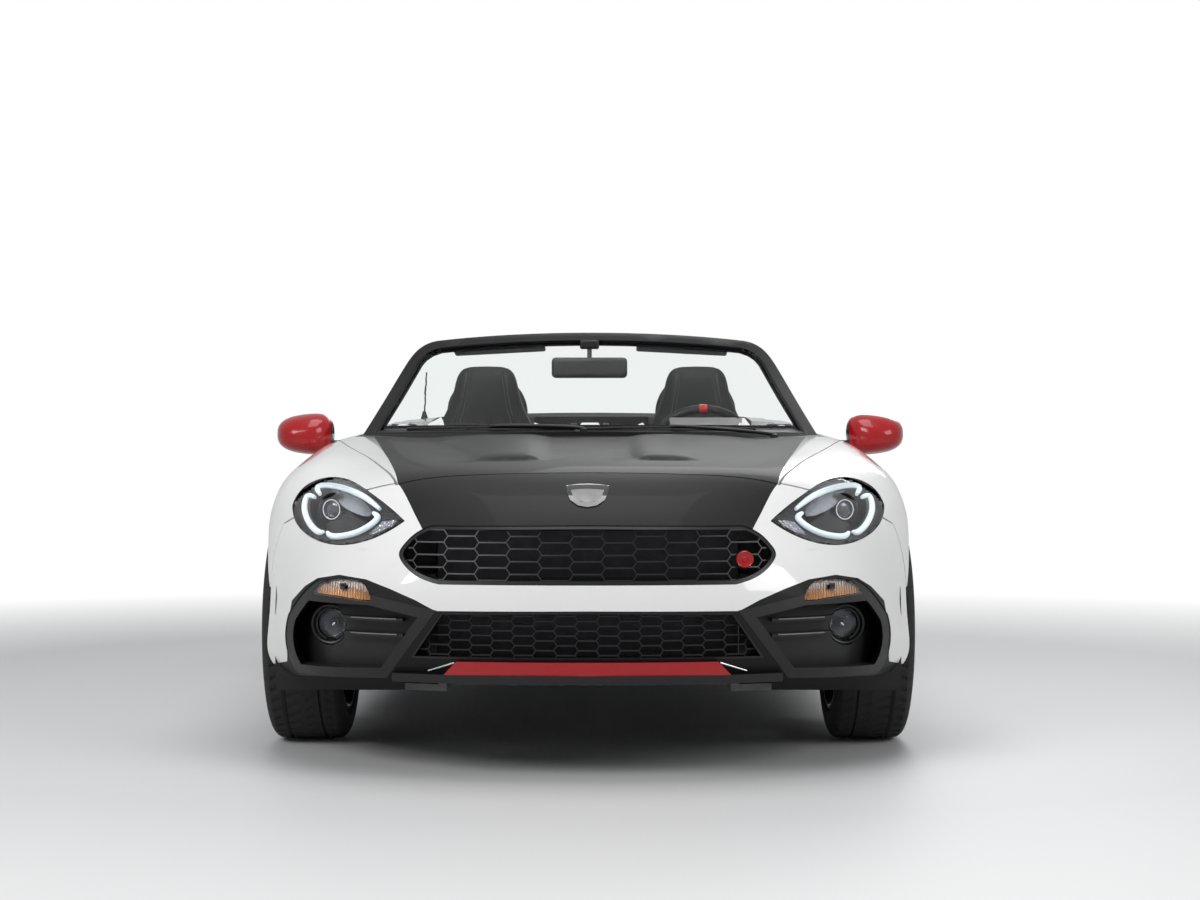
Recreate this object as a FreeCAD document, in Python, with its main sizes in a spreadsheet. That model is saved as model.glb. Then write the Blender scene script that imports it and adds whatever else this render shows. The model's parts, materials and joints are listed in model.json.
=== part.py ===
import FreeCAD, Part
import math
import os
import Sketcher
from FreeCAD import Placement, Rotation, Vector

# Roadster convertible. X runs to the car's left, Y to its tail, Z up from the floor.
# The origin lies on the floor, midway between the two ends of the car.

doc = FreeCAD.newDocument("roadster")
sheet = doc.addObject("Spreadsheet::Sheet", "Sizes")

SIZES = [
    ("overall_length", 4054, "length over both bumpers"),
    ("front_overhang", 859, "nose to front axle"),
    ("wheelbase", 2310, "front axle to rear axle"),
    ("body_width", 1740, "width over the fenders"),
    ("mirror_span", 1918, "width over the mirrors"),
    ("deck_height", 922, "highest point of the boot deck"),
    ("header_height", 1165, "top of the windshield frame"),
    ("panel_thickness", 22, "thickness of a body panel with its inner skin"),
    ("door_inner", 700, "centre line to the inner face of a door"),
    ("shut_gap", 6, "gap between two panels"),
    ("seat_gap", 0.3, "clearance where one piece rests on another"),
    ("track_front", 1496, "distance between the front tyre centres"),
    ("track_rear", 1503, "distance between the rear tyre centres"),
    ("tyre_radius", 308, "tyre radius on the road"),
    ("tyre_width", 205, "tyre section width"),
    ("rim_flange_radius", 229, "outer radius of the rim flange"),
    ("rim_width", 194, "width over both rim flanges"),
    ("rim_wall", 6, "wall of the rim barrel"),
    ("flange_thickness", 8, "thickness of a rim flange"),
    ("flange_height", 12, "rim flange above the bead seat"),
    ("well_depth", 17, "drop centre of the rim"),
    ("hub_face", 35, "wheel centre plane to hub face"),
    ("hub_radius", 72, "radius of the rim's centre"),
    ("stud_circle", 100, "diameter of the wheel stud circle"),
    ("stud_hole", 26, "bore of a wheel nut seat"),
    ("spoke_pairs", 4, "forked spokes on a rim"),
    ("disc_radius", 140, "radius of a brake disc"),
    ("disc_thickness", 22, "thickness of a brake disc"),
    ("arch_radius", 345, "radius of a wheel opening"),
    ("wheelhouse_radius", 382, "radius of the space round a steered wheel"),
    ("kingpin_offset", 700, "centre line to kingpin"),
    ("dome_height", 15, "rise of the bonnet domes"),
    ("glass_thickness", 5, "windshield glass"),
    ("frame_depth", 36, "depth of the windshield frame"),
    ("seat_offset", 366, "centre line to the middle of a seat"),
    ("seat_width", 470, "width of a seat"),
    ("wheel_offset", 365, "centre line to the steering column"),
    ("steering_radius", 172, "steering wheel rim, to the middle of its grip"),
    ("grip_radius", 14, "radius of the steering wheel's grip"),
    ("column_tilt", 65, "lean of the steering wheel from flat"),
    ("upper_cell_pitch", 75, "spacing of the cells in the upper grille"),
    ("upper_cell_height", 29.5, "height of a cell in the upper grille"),
    ("lower_cell_pitch", 50, "spacing of the cells in the lower grille"),
    ("lower_cell_height", 23, "height of a cell in the lower grille"),
    ("cell_bar", 3.5, "bar between two grille cells"),
    ("grille_depth", 12, "depth of the honeycomb"),
    ("grille_inset", 24, "honeycomb behind the bumper's face"),
    ("pipe_radius", 28, "exhaust pipe"),
    ("tip_radius", 42, "exhaust tip"),
    ("floor_height", 150, "underside of the floor"),
    ("floor_plate", 18, "floor and bulkhead plates"),
    ("beam_width", 60, "width of a chassis rail"),
]
for row, (alias, value, note) in enumerate(SIZES, 1):
    sheet.set(f"A{row}", note)
    sheet.set(f"B{row}", str(value))
    sheet.setAlias(f"B{row}", alias)
doc.recompute()


def number(expression):
    """Value of an expression on the sheet, or of a plain number."""
    if isinstance(expression, str):
        return float(sheet.evalExpression(expression))
    return float(expression)


def size(alias):
    return number(f"Sizes.{alias}")


NOSE = "-Sizes.overall_length / 2"
FRONT_AXLE = "(Sizes.front_overhang - Sizes.overall_length / 2)"
REAR_AXLE = "(Sizes.front_overhang + Sizes.wheelbase - Sizes.overall_length / 2)"
TAIL = "Sizes.overall_length / 2"
HALF_WIDTH = "Sizes.body_width / 2"


class Rule:
    """Carries a coordinate of the drawing to the sizes in the sheet, station by station."""

    def __init__(self, *stations):
        self.stations = stations
        self.values = [number(expression) for drawn, expression in stations]

    def span(self, drawn):
        index = 0
        while index < len(self.stations) - 2 and drawn > self.stations[index + 1][0]:
            index += 1
        low, high = self.stations[index][0], self.stations[index + 1][0]
        return index, (drawn - low) / (high - low)

    def place(self, drawn):
        index, share = self.span(drawn)
        return self.values[index] + (self.values[index + 1] - self.values[index]) * share

    def text(self, drawn):
        if isinstance(drawn, str):
            return drawn
        index, share = self.span(drawn)
        low, high = self.stations[index][1], self.stations[index + 1][1]
        return f"({low}) + (({high}) - ({low})) * {share!r}"


class SideRule(Rule):
    """A rule that is the same on both sides of the centre line."""

    def place(self, drawn):
        return math.copysign(super().place(abs(drawn)), drawn)

    def text(self, drawn):
        if isinstance(drawn, str):
            return drawn
        side = "-1" if drawn < 0 else "1"
        return f"{side} * ({super().text(abs(drawn))})"


ALONG = Rule((-2027, NOSE), (-1168, FRONT_AXLE), (1142, REAR_AXLE), (2027, TAIL))
ACROSS = SideRule((0, "0"), (870, HALF_WIDTH), (959, "Sizes.mirror_span / 2"))
UP = Rule((0, "0"), (922, "Sizes.deck_height"), (1165, "Sizes.header_height"))
AXES = {"x": ACROSS, "y": ALONG, "z": UP}


def spot(x, y, z):
    """A drawn point at the sizes in the sheet."""
    return Vector(ACROSS.place(x), ALONG.place(y), UP.place(z))


# Sub-parts, by the name of their file
pieces = []


def piece(item, label):
    item.Label = label
    pieces.append(item)
    return item


def feature(name, shape):
    item = doc.addObject("Part::Feature", name)
    item.Shape = shape
    item.Placement = Placement()
    return item


def box(name, x, y, z):
    """A block between pairs of drawn places or expressions."""
    item = doc.addObject("Part::Box", name)
    for letter, side, pair in zip("xyz", ("Length", "Width", "Height"), (x, y, z)):
        low, high = (AXES[letter].text(end) for end in pair)
        item.setExpression(side, f"({high}) - ({low})")
        item.setExpression(f"Placement.Base.{letter}", low)
    return item


TURNS = {"x": Rotation(Vector(0, 1, 0), 90), "y": Rotation(Vector(1, 0, 0), -90), "z": Rotation()}


def rod(name, radius, axis, start, length):
    """A round bar from a drawn place along an axis."""
    item = doc.addObject("Part::Cylinder", name)
    item.Placement = Placement(Vector(), TURNS[axis])
    item.setExpression("Radius", radius)
    item.setExpression("Height", length)
    for letter, value in zip("xyz", start):
        item.setExpression(f"Placement.Base.{letter}", AXES[letter].text(value))
    return item


def fuse(name, items):
    item = doc.addObject("Part::MultiFuse", name)
    item.Shapes = list(items)
    return item


def common(name, base, tool):
    item = doc.addObject("Part::Common", name)
    item.Base = base
    item.Tool = tool
    return item


def cut(name, base, tools):
    """The base less one tool, or less several in turn."""
    tools = list(tools) if isinstance(tools, (list, tuple)) else [tools]
    for index, tool in enumerate(tools):
        item = doc.addObject("Part::Cut", f"{name}_{index}")
        item.Base = base
        item.Tool = tool
        base = item
    return item


def mirror(name, source):
    item = doc.addObject("Part::Mirroring", name)
    item.Source = source
    item.Normal = (1, 0, 0)
    return item


# Sketched bodies
PLANES = {"plan": "XY_Plane", "front": "XZ_Plane", "side": "YZ_Plane"}
SKETCH_AXES = {"plan": (ACROSS, ALONG), "front": (ACROSS, UP), "side": (ALONG, UP)}


def new_body(name):
    body = doc.addObject("PartDesign::Body", name)
    return body


def sketch(body, view, corners, offset=None, placed=True):
    """A closed outline; each corner is held by two distances from the origin, bound to the sheet."""
    outline = body.newObject("Sketcher::SketchObject", f"{body.Name}_outline")
    plane = next(item for item in body.Origin.OriginFeatures if item.Role == PLANES[view])
    outline.AttachmentSupport = [(plane, "")]
    outline.MapMode = "FlatFace"
    if offset is not None:
        outline.setExpression("AttachmentOffset.Base.z", offset)
    rules = SKETCH_AXES[view]
    texts = []
    for corner in corners:
        if placed:
            texts.append([rule.text(value) for rule, value in zip(rules, corner)])
        else:
            texts.append([str(value) for value in corner])
    spots = [Vector(number(a), number(b), 0) for a, b in texts]
    count = len(spots)
    for index in range(count):
        outline.addGeometry(Part.LineSegment(spots[index], spots[(index + 1) % count]))
    for index in range(count):
        outline.addConstraint(Sketcher.Constraint("Coincident", index, 2, (index + 1) % count, 1))
    for index, (a, b) in enumerate(texts):
        here = spots[index]
        for kind, letter, value, text in (("DistanceX", "x", here.x, a), ("DistanceY", "y", here.y, b)):
            held = outline.addConstraint(Sketcher.Constraint(kind, -1, 1, index, 1, value))
            outline.renameConstraint(held, f"{letter}{index}")
            outline.setExpression(f"Constraints.{letter}{index}", text)
    return outline


def pad(body, outline, length, both_ways=True):
    item = body.newObject("PartDesign::Pad", f"{body.Name}_pad")
    item.Profile = outline
    item.Midplane = both_ways
    item.setExpression("Length", length)
    return item


def pocket(body, outline, length, both_ways=True):
    item = body.newObject("PartDesign::Pocket", f"{body.Name}_pocket")
    item.Profile = outline
    item.Midplane = both_ways
    item.setExpression("Length", length)
    return item


def turned(body, outline, kind="Revolution", axis="H_Axis"):
    item = body.newObject(f"PartDesign::{kind}", f"{body.Name}_turned")
    item.Profile = outline
    item.ReferenceAxis = (outline, [axis])
    item.Angle = 360
    return item


def padded_body(name, view, corners, length, start=None):
    """A body padded from one outline, both ways from its plane or one way from a place."""
    body = new_body(name)
    pad(body, sketch(body, view, corners, start), length, start is None)
    return body


# Free-form outlines: a run of two points is straight, a longer run is a curve through its points
def mirrored(runs):
    """Runs on the left half, front to back, joined to their mirror image."""
    return runs + [[(-a, b) for a, b in reversed(run)] for run in reversed(runs)]


def normal(start, end):
    reach = math.hypot(end[0] - start[0], end[1] - start[1])
    return ((end[1] - start[1]) / reach, (start[0] - end[0]) / reach)


def grown(points, gap):
    """A closed outline moved outwards by a gap, its corners kept."""
    count = len(points)
    area = sum(points[i - 1][0] * points[i][1] - points[i][0] * points[i - 1][1] for i in range(count))
    side = gap if area > 0 else -gap
    moved = []
    for index, here in enumerate(points):
        before = normal(points[index - 1], here)
        after = normal(here, points[(index + 1) % count])
        share = side / (1 + before[0] * after[0] + before[1] * after[1])
        moved.append((here[0] + (before[0] + after[0]) * share, here[1] + (before[1] + after[1]) * share))
    return moved


VIEWS = {
    "plan": (ACROSS, ALONG, UP, lambda a, b, c: Vector(a, b, c)),
    "front": (ACROSS, UP, ALONG, lambda a, b, c: Vector(a, c, b)),
    "side": (ALONG, UP, ACROSS, lambda a, b, c: Vector(c, a, b)),
}


def prism(runs, view, low, high, gap=0.0):
    """A free-form outline drawn in one view, grown by a gap and stretched between two places."""
    first, second, third, turn = VIEWS[view]
    loop = [(first.place(a), second.place(b)) for run in runs for a, b in run[:-1]]
    if gap:
        loop = grown(loop, gap)
    start, end = third.place(low), third.place(high)
    loop.append(loop[0])
    edges = []
    index = 0
    for run in runs:
        chain = [turn(a, b, start) for a, b in loop[index:index + len(run)]]
        index += len(run) - 1
        if len(chain) == 2:
            edges.append(Part.makeLine(*chain))
        else:
            curve = Part.BSplineCurve()
            curve.interpolate(chain)
            edges.append(curve.toShape())
    return Part.Face(Part.Wire(edges)).extrude(turn(0, 0, end - start))


# Body skin: rows from under the nose, over the car, to under the tail.
# The rows at both ends fan round a pivot inside the car, so that they follow its ends.
FRONT_PIVOT = (-1350.0, 200.0)
REAR_PIVOT = (1400.0, 230.0)


def fan(pivot, degrees, half):
    slope = math.tan(math.radians(degrees))
    side = math.copysign(1, pivot[0])
    return [(x, y, pivot[1] + slope * side * (y - pivot[0])) for x, y in half]


def across(y, half):
    return [(x, y, z) for x, z in half]


SKIN_ROWS = [
    fan(FRONT_PIVOT, 3.2, [(0, -1985), (230, -1970), (425, -1918), (560, -1845), (650, -1760), (705, -1675),
                           (742, -1595), (768, -1530), (788, -1475), (802, -1432), (812, -1406)]),
    fan(FRONT_PIVOT, 10, [(0, -2018), (235, -2003), (440, -1950), (575, -1874), (668, -1784), (724, -1694),
                          (762, -1610), (790, -1540), (812, -1482), (828, -1436), (838, -1403)]),
    fan(FRONT_PIVOT, 20, [(0, -2027), (240, -2011), (445, -1957), (585, -1879), (680, -1786), (738, -1692),
                          (778, -1605), (808, -1533), (832, -1473), (848, -1430), (856, -1400)]),
    fan(FRONT_PIVOT, 31, [(0, -1982), (240, -1965), (442, -1908), (582, -1832), (682, -1746), (744, -1660),
                          (787, -1580), (818, -1515), (843, -1462), (857, -1424), (863, -1396)]),
    fan(FRONT_PIVOT, 42, [(0, -1874), (237, -1861), (436, -1817), (578, -1756), (680, -1686), (746, -1616),
                          (792, -1550), (824, -1495), (848, -1450), (862, -1416), (867, -1390)]),
    fan(FRONT_PIVOT, 54, [(0, -1731), (234, -1728), (438, -1717), (582, -1680), (688, -1627), (758, -1570),
                          (804, -1514), (834, -1471), (855, -1435), (866, -1406), (869, -1382)]),
    fan(FRONT_PIVOT, 68, [(0, -1571), (230, -1570), (428, -1567), (582, -1557), (696, -1538), (776, -1510),
                          (821, -1475), (846, -1442), (862, -1414), (869, -1391), (870, -1372)]),
    across(-1350, [(0, 766), (230, 764), (430, 758), (590, 752), (702, 745), (778, 708), (827, 650),
                   (852, 560), (865, 460), (870, 360), (868, 265)]),
    across(-1168, [(0, 780), (230, 778), (435, 772), (600, 772), (705, 778), (778, 745), (829, 696),
                   (852, 610), (867, 490), (871, 370), (866, 255)]),
    across(-880, [(0, 803), (235, 801), (445, 796), (615, 799), (715, 808), (780, 775), (825, 712),
                  (848, 620), (858, 490), (856, 370), (840, 240)]),
    across(-600, [(0, 824), (240, 822), (455, 818), (630, 820), (720, 820), (775, 786), (811, 722),
                  (830, 630), (838, 490), (832, 360), (805, 220)]),
    across(-200, [(0, 840), (240, 839), (455, 838), (635, 838), (722, 834), (770, 800), (801, 735),
                  (816, 635), (822, 490), (816, 350), (790, 200)]),
    across(200, [(0, 858), (240, 857), (455, 855), (635, 854), (724, 848), (772, 816), (804, 750),
                 (818, 645), (824, 490), (817, 345), (790, 198)]),
    across(600, [(0, 890), (240, 889), (455, 885), (630, 880), (722, 870), (780, 838), (820, 772),
                 (838, 665), (842, 500), (834, 355), (805, 208)]),
    across(880, [(0, 912), (240, 910), (455, 904), (622, 895), (716, 882), (784, 848), (834, 786),
                 (858, 680), (864, 510), (858, 370), (842, 235)]),
    across(1142, [(0, 922), (237, 920), (450, 913), (610, 901), (708, 882), (782, 844), (841, 780),
                  (866, 680), (870, 520), (868, 385), (862, 265)]),
    across(1400, [(0, 920), (235, 918), (445, 910), (600, 894), (700, 868), (775, 822), (830, 755),
                  (856, 655), (864, 515), (864, 395), (861, 290)]),
    fan(REAR_PIVOT, 65, [(0, 1718), (235, 1717), (440, 1711), (585, 1699), (682, 1679), (750, 1649),
                         (800, 1605), (832, 1555), (851, 1502), (859, 1462), (862, 1434)]),
    fan(REAR_PIVOT, 51, [(0, 1935), (230, 1927), (425, 1898), (567, 1855), (666, 1802), (736, 1740),
                         (788, 1670), (824, 1598), (847, 1527), (858, 1474), (862, 1437)]),
    fan(REAR_PIVOT, 39, [(0, 1992), (235, 1982), (435, 1946), (580, 1894), (680, 1830), (748, 1758),
                         (797, 1680), (830, 1603), (850, 1530), (859, 1475), (862, 1439)]),
    fan(REAR_PIVOT, 27, [(0, 2024), (237, 2012), (440, 1973), (590, 1915), (690, 1842), (756, 1763),
                         (803, 1682), (833, 1604), (852, 1530), (860, 1476), (862, 1441)]),
    fan(REAR_PIVOT, 16, [(0, 2020), (237, 2008), (438, 1968), (586, 1908), (684, 1834), (749, 1755),
                         (795, 1674), (825, 1598), (845, 1526), (855, 1473), (860, 1443)]),
    fan(REAR_PIVOT, 4, [(0, 1955), (230, 1944), (425, 1908), (565, 1855), (660, 1790), (725, 1718),
                        (772, 1645), (803, 1575), (825, 1510), (838, 1468), (845, 1445)]),
]


def both_halves(rows):
    """Rows drawn from the centre line out, made whole across the car."""
    whole = [[(-x, y, z) for x, y, z in reversed(row[1:])] + list(row) for row in rows]
    return [[spot(*point) for point in row] for row in whole]


def pushed(line):
    """Points moved out by as much as a cubic curve cuts inside its net."""
    inner = [here - (before - here * 2 + after) / 6 for before, here, after in zip(line, line[1:], line[2:])]
    return [line[0]] + inner + [line[-1]]


def net_poles(grid):
    rows = [pushed(row) for row in grid]
    columns = [pushed(list(column)) for column in zip(*rows)]
    return [list(row) for row in zip(*columns)]


def inward(grid, depth):
    """A net moved along its own normals, into the body."""
    rows, columns = len(grid), len(grid[0])
    moved = []
    for i in range(rows):
        line = []
        for j in range(columns):
            down = grid[min(i + 1, rows - 1)][j] - grid[max(i - 1, 0)][j]
            over = grid[i][min(j + 1, columns - 1)] - grid[i][max(j - 1, 0)]
            line.append(grid[i][j] + down.cross(over).normalize() * depth)
        moved.append(line)
    return moved


def surface(grid):
    """A smooth surface on a net of poles."""
    counts = len(grid), len(grid[0])
    knots = [list(range(count - 2)) for count in counts]
    folds = [[4] + [1] * (count - 4) + [4] for count in counts]
    patch = Part.BSplineSurface()
    patch.buildFromPolesMultsKnots(grid, folds[0], folds[1], knots[0], knots[1], False, False, 3, 3)
    return patch


def walled(faces):
    shell = Part.makeShell(faces)
    shell.sewShape()
    solid = Part.makeSolid(shell)
    if solid.Volume < 0:
        solid.reverse()
    return solid


def filled(grid):
    """The solid under an arched net: flat ends, and a floor between its two long edges."""
    patch = surface(grid)
    first, last, left, right = patch.bounds()
    ends = []
    for place in (first, last):
        edge = patch.uIso(place).toShape()
        chord = Part.makeLine(edge.valueAt(edge.LastParameter), edge.valueAt(edge.FirstParameter))
        ends.append(Part.Face(Part.Wire([edge, chord])))
    floor = Part.makeRuledSurface(patch.vIso(left).toShape(), patch.vIso(right).toShape())
    return walled([patch.toShape()] + ends + floor.Faces)


def slab(upper, lower):
    """The solid between two nets of the same layout."""
    top, bottom = surface(upper), surface(lower)
    sides = []
    first, last, left, right = top.bounds()
    for place in (first, last):
        sides += Part.makeRuledSurface(top.uIso(place).toShape(), bottom.uIso(place).toShape()).Faces
    for place in (left, right):
        sides += Part.makeRuledSurface(top.vIso(place).toShape(), bottom.vIso(place).toShape()).Faces
    return walled([top.toShape(), bottom.toShape()] + sides)


def deep(grid):
    """The solid under a net whose whole edge lies at one level."""
    patch = surface(grid)
    first, last, left, right = patch.bounds()
    edges = [patch.uIso(place).toShape() for place in (first, last)]
    edges += [patch.vIso(place).toShape() for place in (left, right)]
    base = Part.Face(Part.Wire(Part.__sortEdges__(edges)))
    return walled([patch.toShape(), base])


DRAWN = both_halves(SKIN_ROWS)
SKIN = net_poles(DRAWN)
SKIRT_LEVEL = 100


def skin_block(depth):
    """The body's outer form moved in by a depth. Inner ones run on below, to cut right through."""
    grid = inward(SKIN, depth)
    if depth == 0:
        return filled(grid)
    lowered = []
    for i, row in enumerate(grid):
        line = []
        for j, pole in enumerate(row):
            if j in (0, len(row) - 1):
                edge = DRAWN[i][j]
                line.append(Vector(edge.x - math.copysign(depth, edge.x), edge.y, SKIRT_LEVEL))
            elif i in (0, len(grid) - 1):
                line.append(Vector(pole.x, pole.y, SKIRT_LEVEL))
            else:
                line.append(pole)
        lowered.append(line)
    return deep(lowered)

# Zones of the panels, as drawn in plan, from the side and from the front
def straight(points):
    return [[here, there] for here, there in zip(points, points[1:] + points[:1])]


HOOD = mirrored([
    [(0, -1722), (240, -1717), (472, -1700)],
    [(472, -1700), (536, -1460), (605, -1220), (668, -1030), (712, -850), (736, -700), (740, -606)],
    [(740, -606), (0, -606)],
])
TRUNK = mirrored([
    [(0, 1020), (560, 1020)],
    [(560, 1020), (561, 1180), (562, 1340), (562, 1500), (559, 1640), (548, 1770), (512, 1880), (440, 1950)],
    [(440, 1950), (430, 2200)],
    [(430, 2200), (0, 2200)],
])
DOOR = [
    [(-500, 940), (-502, 620), (-512, 430), (-530, 330), (-520, 262)],
    [(-520, 262), (440, 262)],
    [(440, 262), (486, 320), (506, 430), (514, 620), (516, 940)],
    [(516, 940), (-500, 940)],
]
DOOR_PLAN = straight([(700, -500), (900, -500), (900, 522), (838, 516), (700, 500)])
BUMPER = straight([(-2200, 0), (-1497, 0), (-1497, 590), (-1703, 700), (-1703, 900), (-2200, 900)])
REAR_BUMPER = straight([(1497, 0), (2200, 0), (2200, 664), (1700, 664), (1497, 560)])
HEADLAMP = [
    [(443, 610), (493, 647), (543, 677), (610, 706), (668, 712), (728, 694), (765, 640)],
    [(765, 640), (742, 592), (680, 556), (592, 549), (508, 572), (443, 610)],
]
TAIL_LAMP = [
    [(452, 696), (462, 780)],
    [(462, 780), (600, 812), (740, 804), (800, 768)],
    [(800, 768), (808, 722), (770, 690)],
    [(770, 690), (620, 676), (452, 696)],
]
UPPER_GRILLE = mirrored([
    [(0, 465), (350, 465)],
    [(350, 465), (406, 484), (440, 512), (451, 534), (440, 556), (411, 584), (374, 601)],
    [(374, 601), (0, 604)],
])
LOWER_GRILLE = mirrored([[(0, 289), (420, 289)], [(420, 289), (344, 400)], [(344, 400), (0, 404)]])
CORNER_POD = [
    [(355, 404), (657, 466)],
    [(657, 466), (693, 442), (728, 403), (751, 371)],
    [(751, 371), (759, 304), (730, 223)],
    [(730, 223), (481, 236)],
    [(481, 236), (355, 404)],
]
GLASS = mirrored([
    [(0, 838), (330, 838), (650, 836)],
    [(650, 836), (608, 935), (566, 1035), (540, 1082), (484, 1112)],
    [(484, 1112), (250, 1130), (0, 1137)],
])
WINDSHIELD = mirrored([
    [(0, 790), (706, 790)],
    [(706, 790), (690, 829), (640, 952), (600, 1045), (572, 1095), (500, 1138)],
    [(500, 1138), (260, 1158), (0, 1165)],
])
GAP = size("shut_gap")
REST = size("seat_gap")


def both_sides(shape):
    """A form on the left with its mirror image on the right."""
    return Part.makeCompound([shape, shape.mirror(Vector(), Vector(1, 0, 0))])


panel = size("panel_thickness")
outer = feature("skin_outer", skin_block(0))
core = feature("skin_inner", skin_block(panel))
rest_core = feature("skin_rest", skin_block(panel + REST))
shell = cut("body_shell", outer, core)

hood_zone = feature("hood_zone", prism(HOOD, "plan", 500, 1000))
hood_room = feature("hood_room", prism(HOOD, "plan", 500, 1000, GAP))
trunk_zone = feature("trunk_zone", prism(TRUNK, "plan", 735, 1000))
trunk_room = feature("trunk_room", prism(TRUNK, "plan", 729, 1000, GAP))
bumper_zone = feature("bumper_zone", prism(BUMPER, "side", -900, 900))
bumper_room = feature("bumper_room", prism(BUMPER, "side", -900, 900, GAP))
tail_zone = feature("tail_zone", prism(REAR_BUMPER, "side", -900, 900))
tail_room = feature("tail_room", prism(REAR_BUMPER, "side", -900, 900, GAP))
lamp_room = feature("lamp_room", both_sides(prism(HEADLAMP, "front", -2200, -1400)))
tail_lamp_room = feature("tail_lamp_room", both_sides(prism(TAIL_LAMP, "front", 1560, 2200)))
pod_room = feature("pod_room", both_sides(prism(CORNER_POD, "front", -2200, -1400)))
upper_opening = feature("upper_opening", prism(UPPER_GRILLE, "front", -2200, -1600))
lower_opening = feature("lower_opening", prism(LOWER_GRILLE, "front", -2200, -1600))
door_zone = feature("door_zone", prism(DOOR, "side", 640, 900))
door_sweep = feature("door_sweep", prism(DOOR_PLAN, "plan", 200, 950))
door_room = feature("door_room", prism(DOOR, "side", 640, 900, GAP))

ARCH = "Sizes.arch_radius"
front_arch = rod("front_arch", ARCH, "x", (520, FRONT_AXLE, "Sizes.tyre_radius"), "500")
rear_arch = rod("rear_arch", ARCH, "x", (520, REAR_AXLE, "Sizes.tyre_radius"), "500")
fender_zone = box("fender_zone", (0, 900), (-1900, -506), (0, 950))
sill_zone = box("sill_zone", (600, 900), (-535, 600), (0, 262))
sill_panel_zone = box("sill_panel_zone", (600, 900), (-529, 600), (0, 256))
quarter_rear_zone = box("quarter_rear_zone", (0, 900), (486, 2200), (0, 950))
cowl_zone = box("cowl_zone", (-694, 694), (-600, -440), (600, 950))
cowl_room = box("cowl_room", (-700, 700), (-606, -400), (600, 950))
cockpit = box("cockpit", (-700, 700), (-440, 521), (600, 950))
behind_seats = box("behind_seats", (-640, 640), (500, 620), (600, 950))
roof_room = box("roof_room", (-566, 566), (614, 1014), (600, 950))
tail_middle = box("tail_middle", (-436, 436), (1850, 2200), (660, 729))
tail_middle_room = box("tail_middle_room", (-442, 442), (1850, 2200), (660, 735))
lip_cut = box("lip_cut", (-478, 478), (-2200, -1700), (0, 252))

# Body panels
DOME_ROWS = [
    (-1476, 120, 296, 0), (-1452, 116, 300, 0.5), (-1420, 113, 306, 1), (-1330, 110, 322, 1), (-1180, 107, 350, 1),
    (-1000, 105, 390, 1), (-820, 104, 436, 0.9), (-700, 104, 468, 0.75), (-611, 104, 489, 0.62),
]
DOME_STEPS = [
    (-0.1, -1), (0.0, -0.25), (0.1, 0.55), (0.2, 1), (0.35, 1),
    (0.55, 1), (0.75, 0.8), (0.9, 0.35), (1.0, 0), (1.08, -0.7),
]
DOME_SUNK = 5


def skin_height(x, y):
    """Height of the body's form over a point of the plan."""
    upright = Part.LineSegment(Vector(x, y, 500), Vector(x, y, 1100))
    places = upright.intersectCS(OUTER_SURFACE)[0]
    return max(place.Z for place in places)


def dome_grid(lift):
    rows = []
    for y, inner, outer_edge, rise in DOME_ROWS:
        row = []
        for step, share in DOME_STEPS:
            x, run = ACROSS.place(inner + (outer_edge - inner) * step), ALONG.place(y)
            height = size("dome_height") * rise * share if share > 0 else DOME_SUNK * share
            row.append(Vector(x, run, skin_height(x, run) + height - (DOME_SUNK if rise == 0 else 0) - lift))
        rows.append(row)
    return rows


OUTER_SURFACE = surface(SKIN)
dome_left = feature("dome_left", slab(dome_grid(0), dome_grid(10)))
hood_parts = [common("hood_panel", shell, hood_zone), dome_left, mirror("dome_right", dome_left)]
piece(fuse("hood_whole", hood_parts), "hood")
piece(common("cowl", shell, cowl_zone), "cowl_panel")
piece(common("trunk_panel", shell, trunk_zone), "trunk_lid")

bumper_shell = common("bumper_shell", shell, bumper_zone)
bumper_tools = [hood_room, lamp_room, upper_opening, lower_opening, pod_room, lip_cut]
front_bumper = cut("bumper", bumper_shell, bumper_tools)
piece(front_bumper, "front_bumper")

fender_shell = common("fender_shell", shell, fender_zone)
fender_tools = [bumper_room, hood_room, cowl_room, door_room, sill_zone, front_arch, lamp_room]
fender_left = cut("fender", fender_shell, fender_tools)
piece(fender_left, "fender_left")
piece(mirror("fender_twin", fender_left), "fender_right")

quarter_zone = fuse("quarter_zone", [quarter_rear_zone, sill_panel_zone])
quarter_shell = common("quarter_shell", shell, quarter_zone)
quarter_tools = [
    door_room, trunk_room, roof_room, cockpit, behind_seats,
    tail_room, tail_middle_room, tail_lamp_room, rear_arch,
]
quarter_left = cut("quarter", quarter_shell, quarter_tools)
piece(quarter_left, "quarter_left")
piece(mirror("quarter_twin", quarter_left), "quarter_right")

rear_zone = fuse("rear_zone", [tail_zone, tail_middle])
rear_shell = common("rear_shell", shell, rear_zone)
diffuser_zone = box("diffuser_zone", (-520, 520), (1800, 2200), (0, 352))
diffuser_room = box("diffuser_room", (-523, 523), (1797, 2200), (0, 355))
piece(cut("rear_skin", rear_shell, [trunk_room, tail_lamp_room, diffuser_room]), "rear_bumper")

door_block = common("door_block", outer, door_zone)
door_left = common("door_panel", door_block, door_sweep)
piece(door_left, "door_left")
piece(mirror("door_twin", door_left), "door_right")

# Front fittings, cut from the body's own form so that they lie flush in their openings
skins = {}


def skin_at(depth):
    """The body's form at a depth, made once."""
    if depth not in skins:
        skins[depth] = feature(f"skin_{len(skins)}", skin_block(depth))
    return skins[depth]


def layer(name, form, near, far):
    """What a form holds between two depths under the skin."""
    block = common(f"{name}_block", form, outer)
    inside = common(f"{name}_in", block, skin_at(near))
    return cut(f"{name}_layer", inside, skin_at(far))


FLUSH = 2
FITTING_DEPTH = 70


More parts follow.
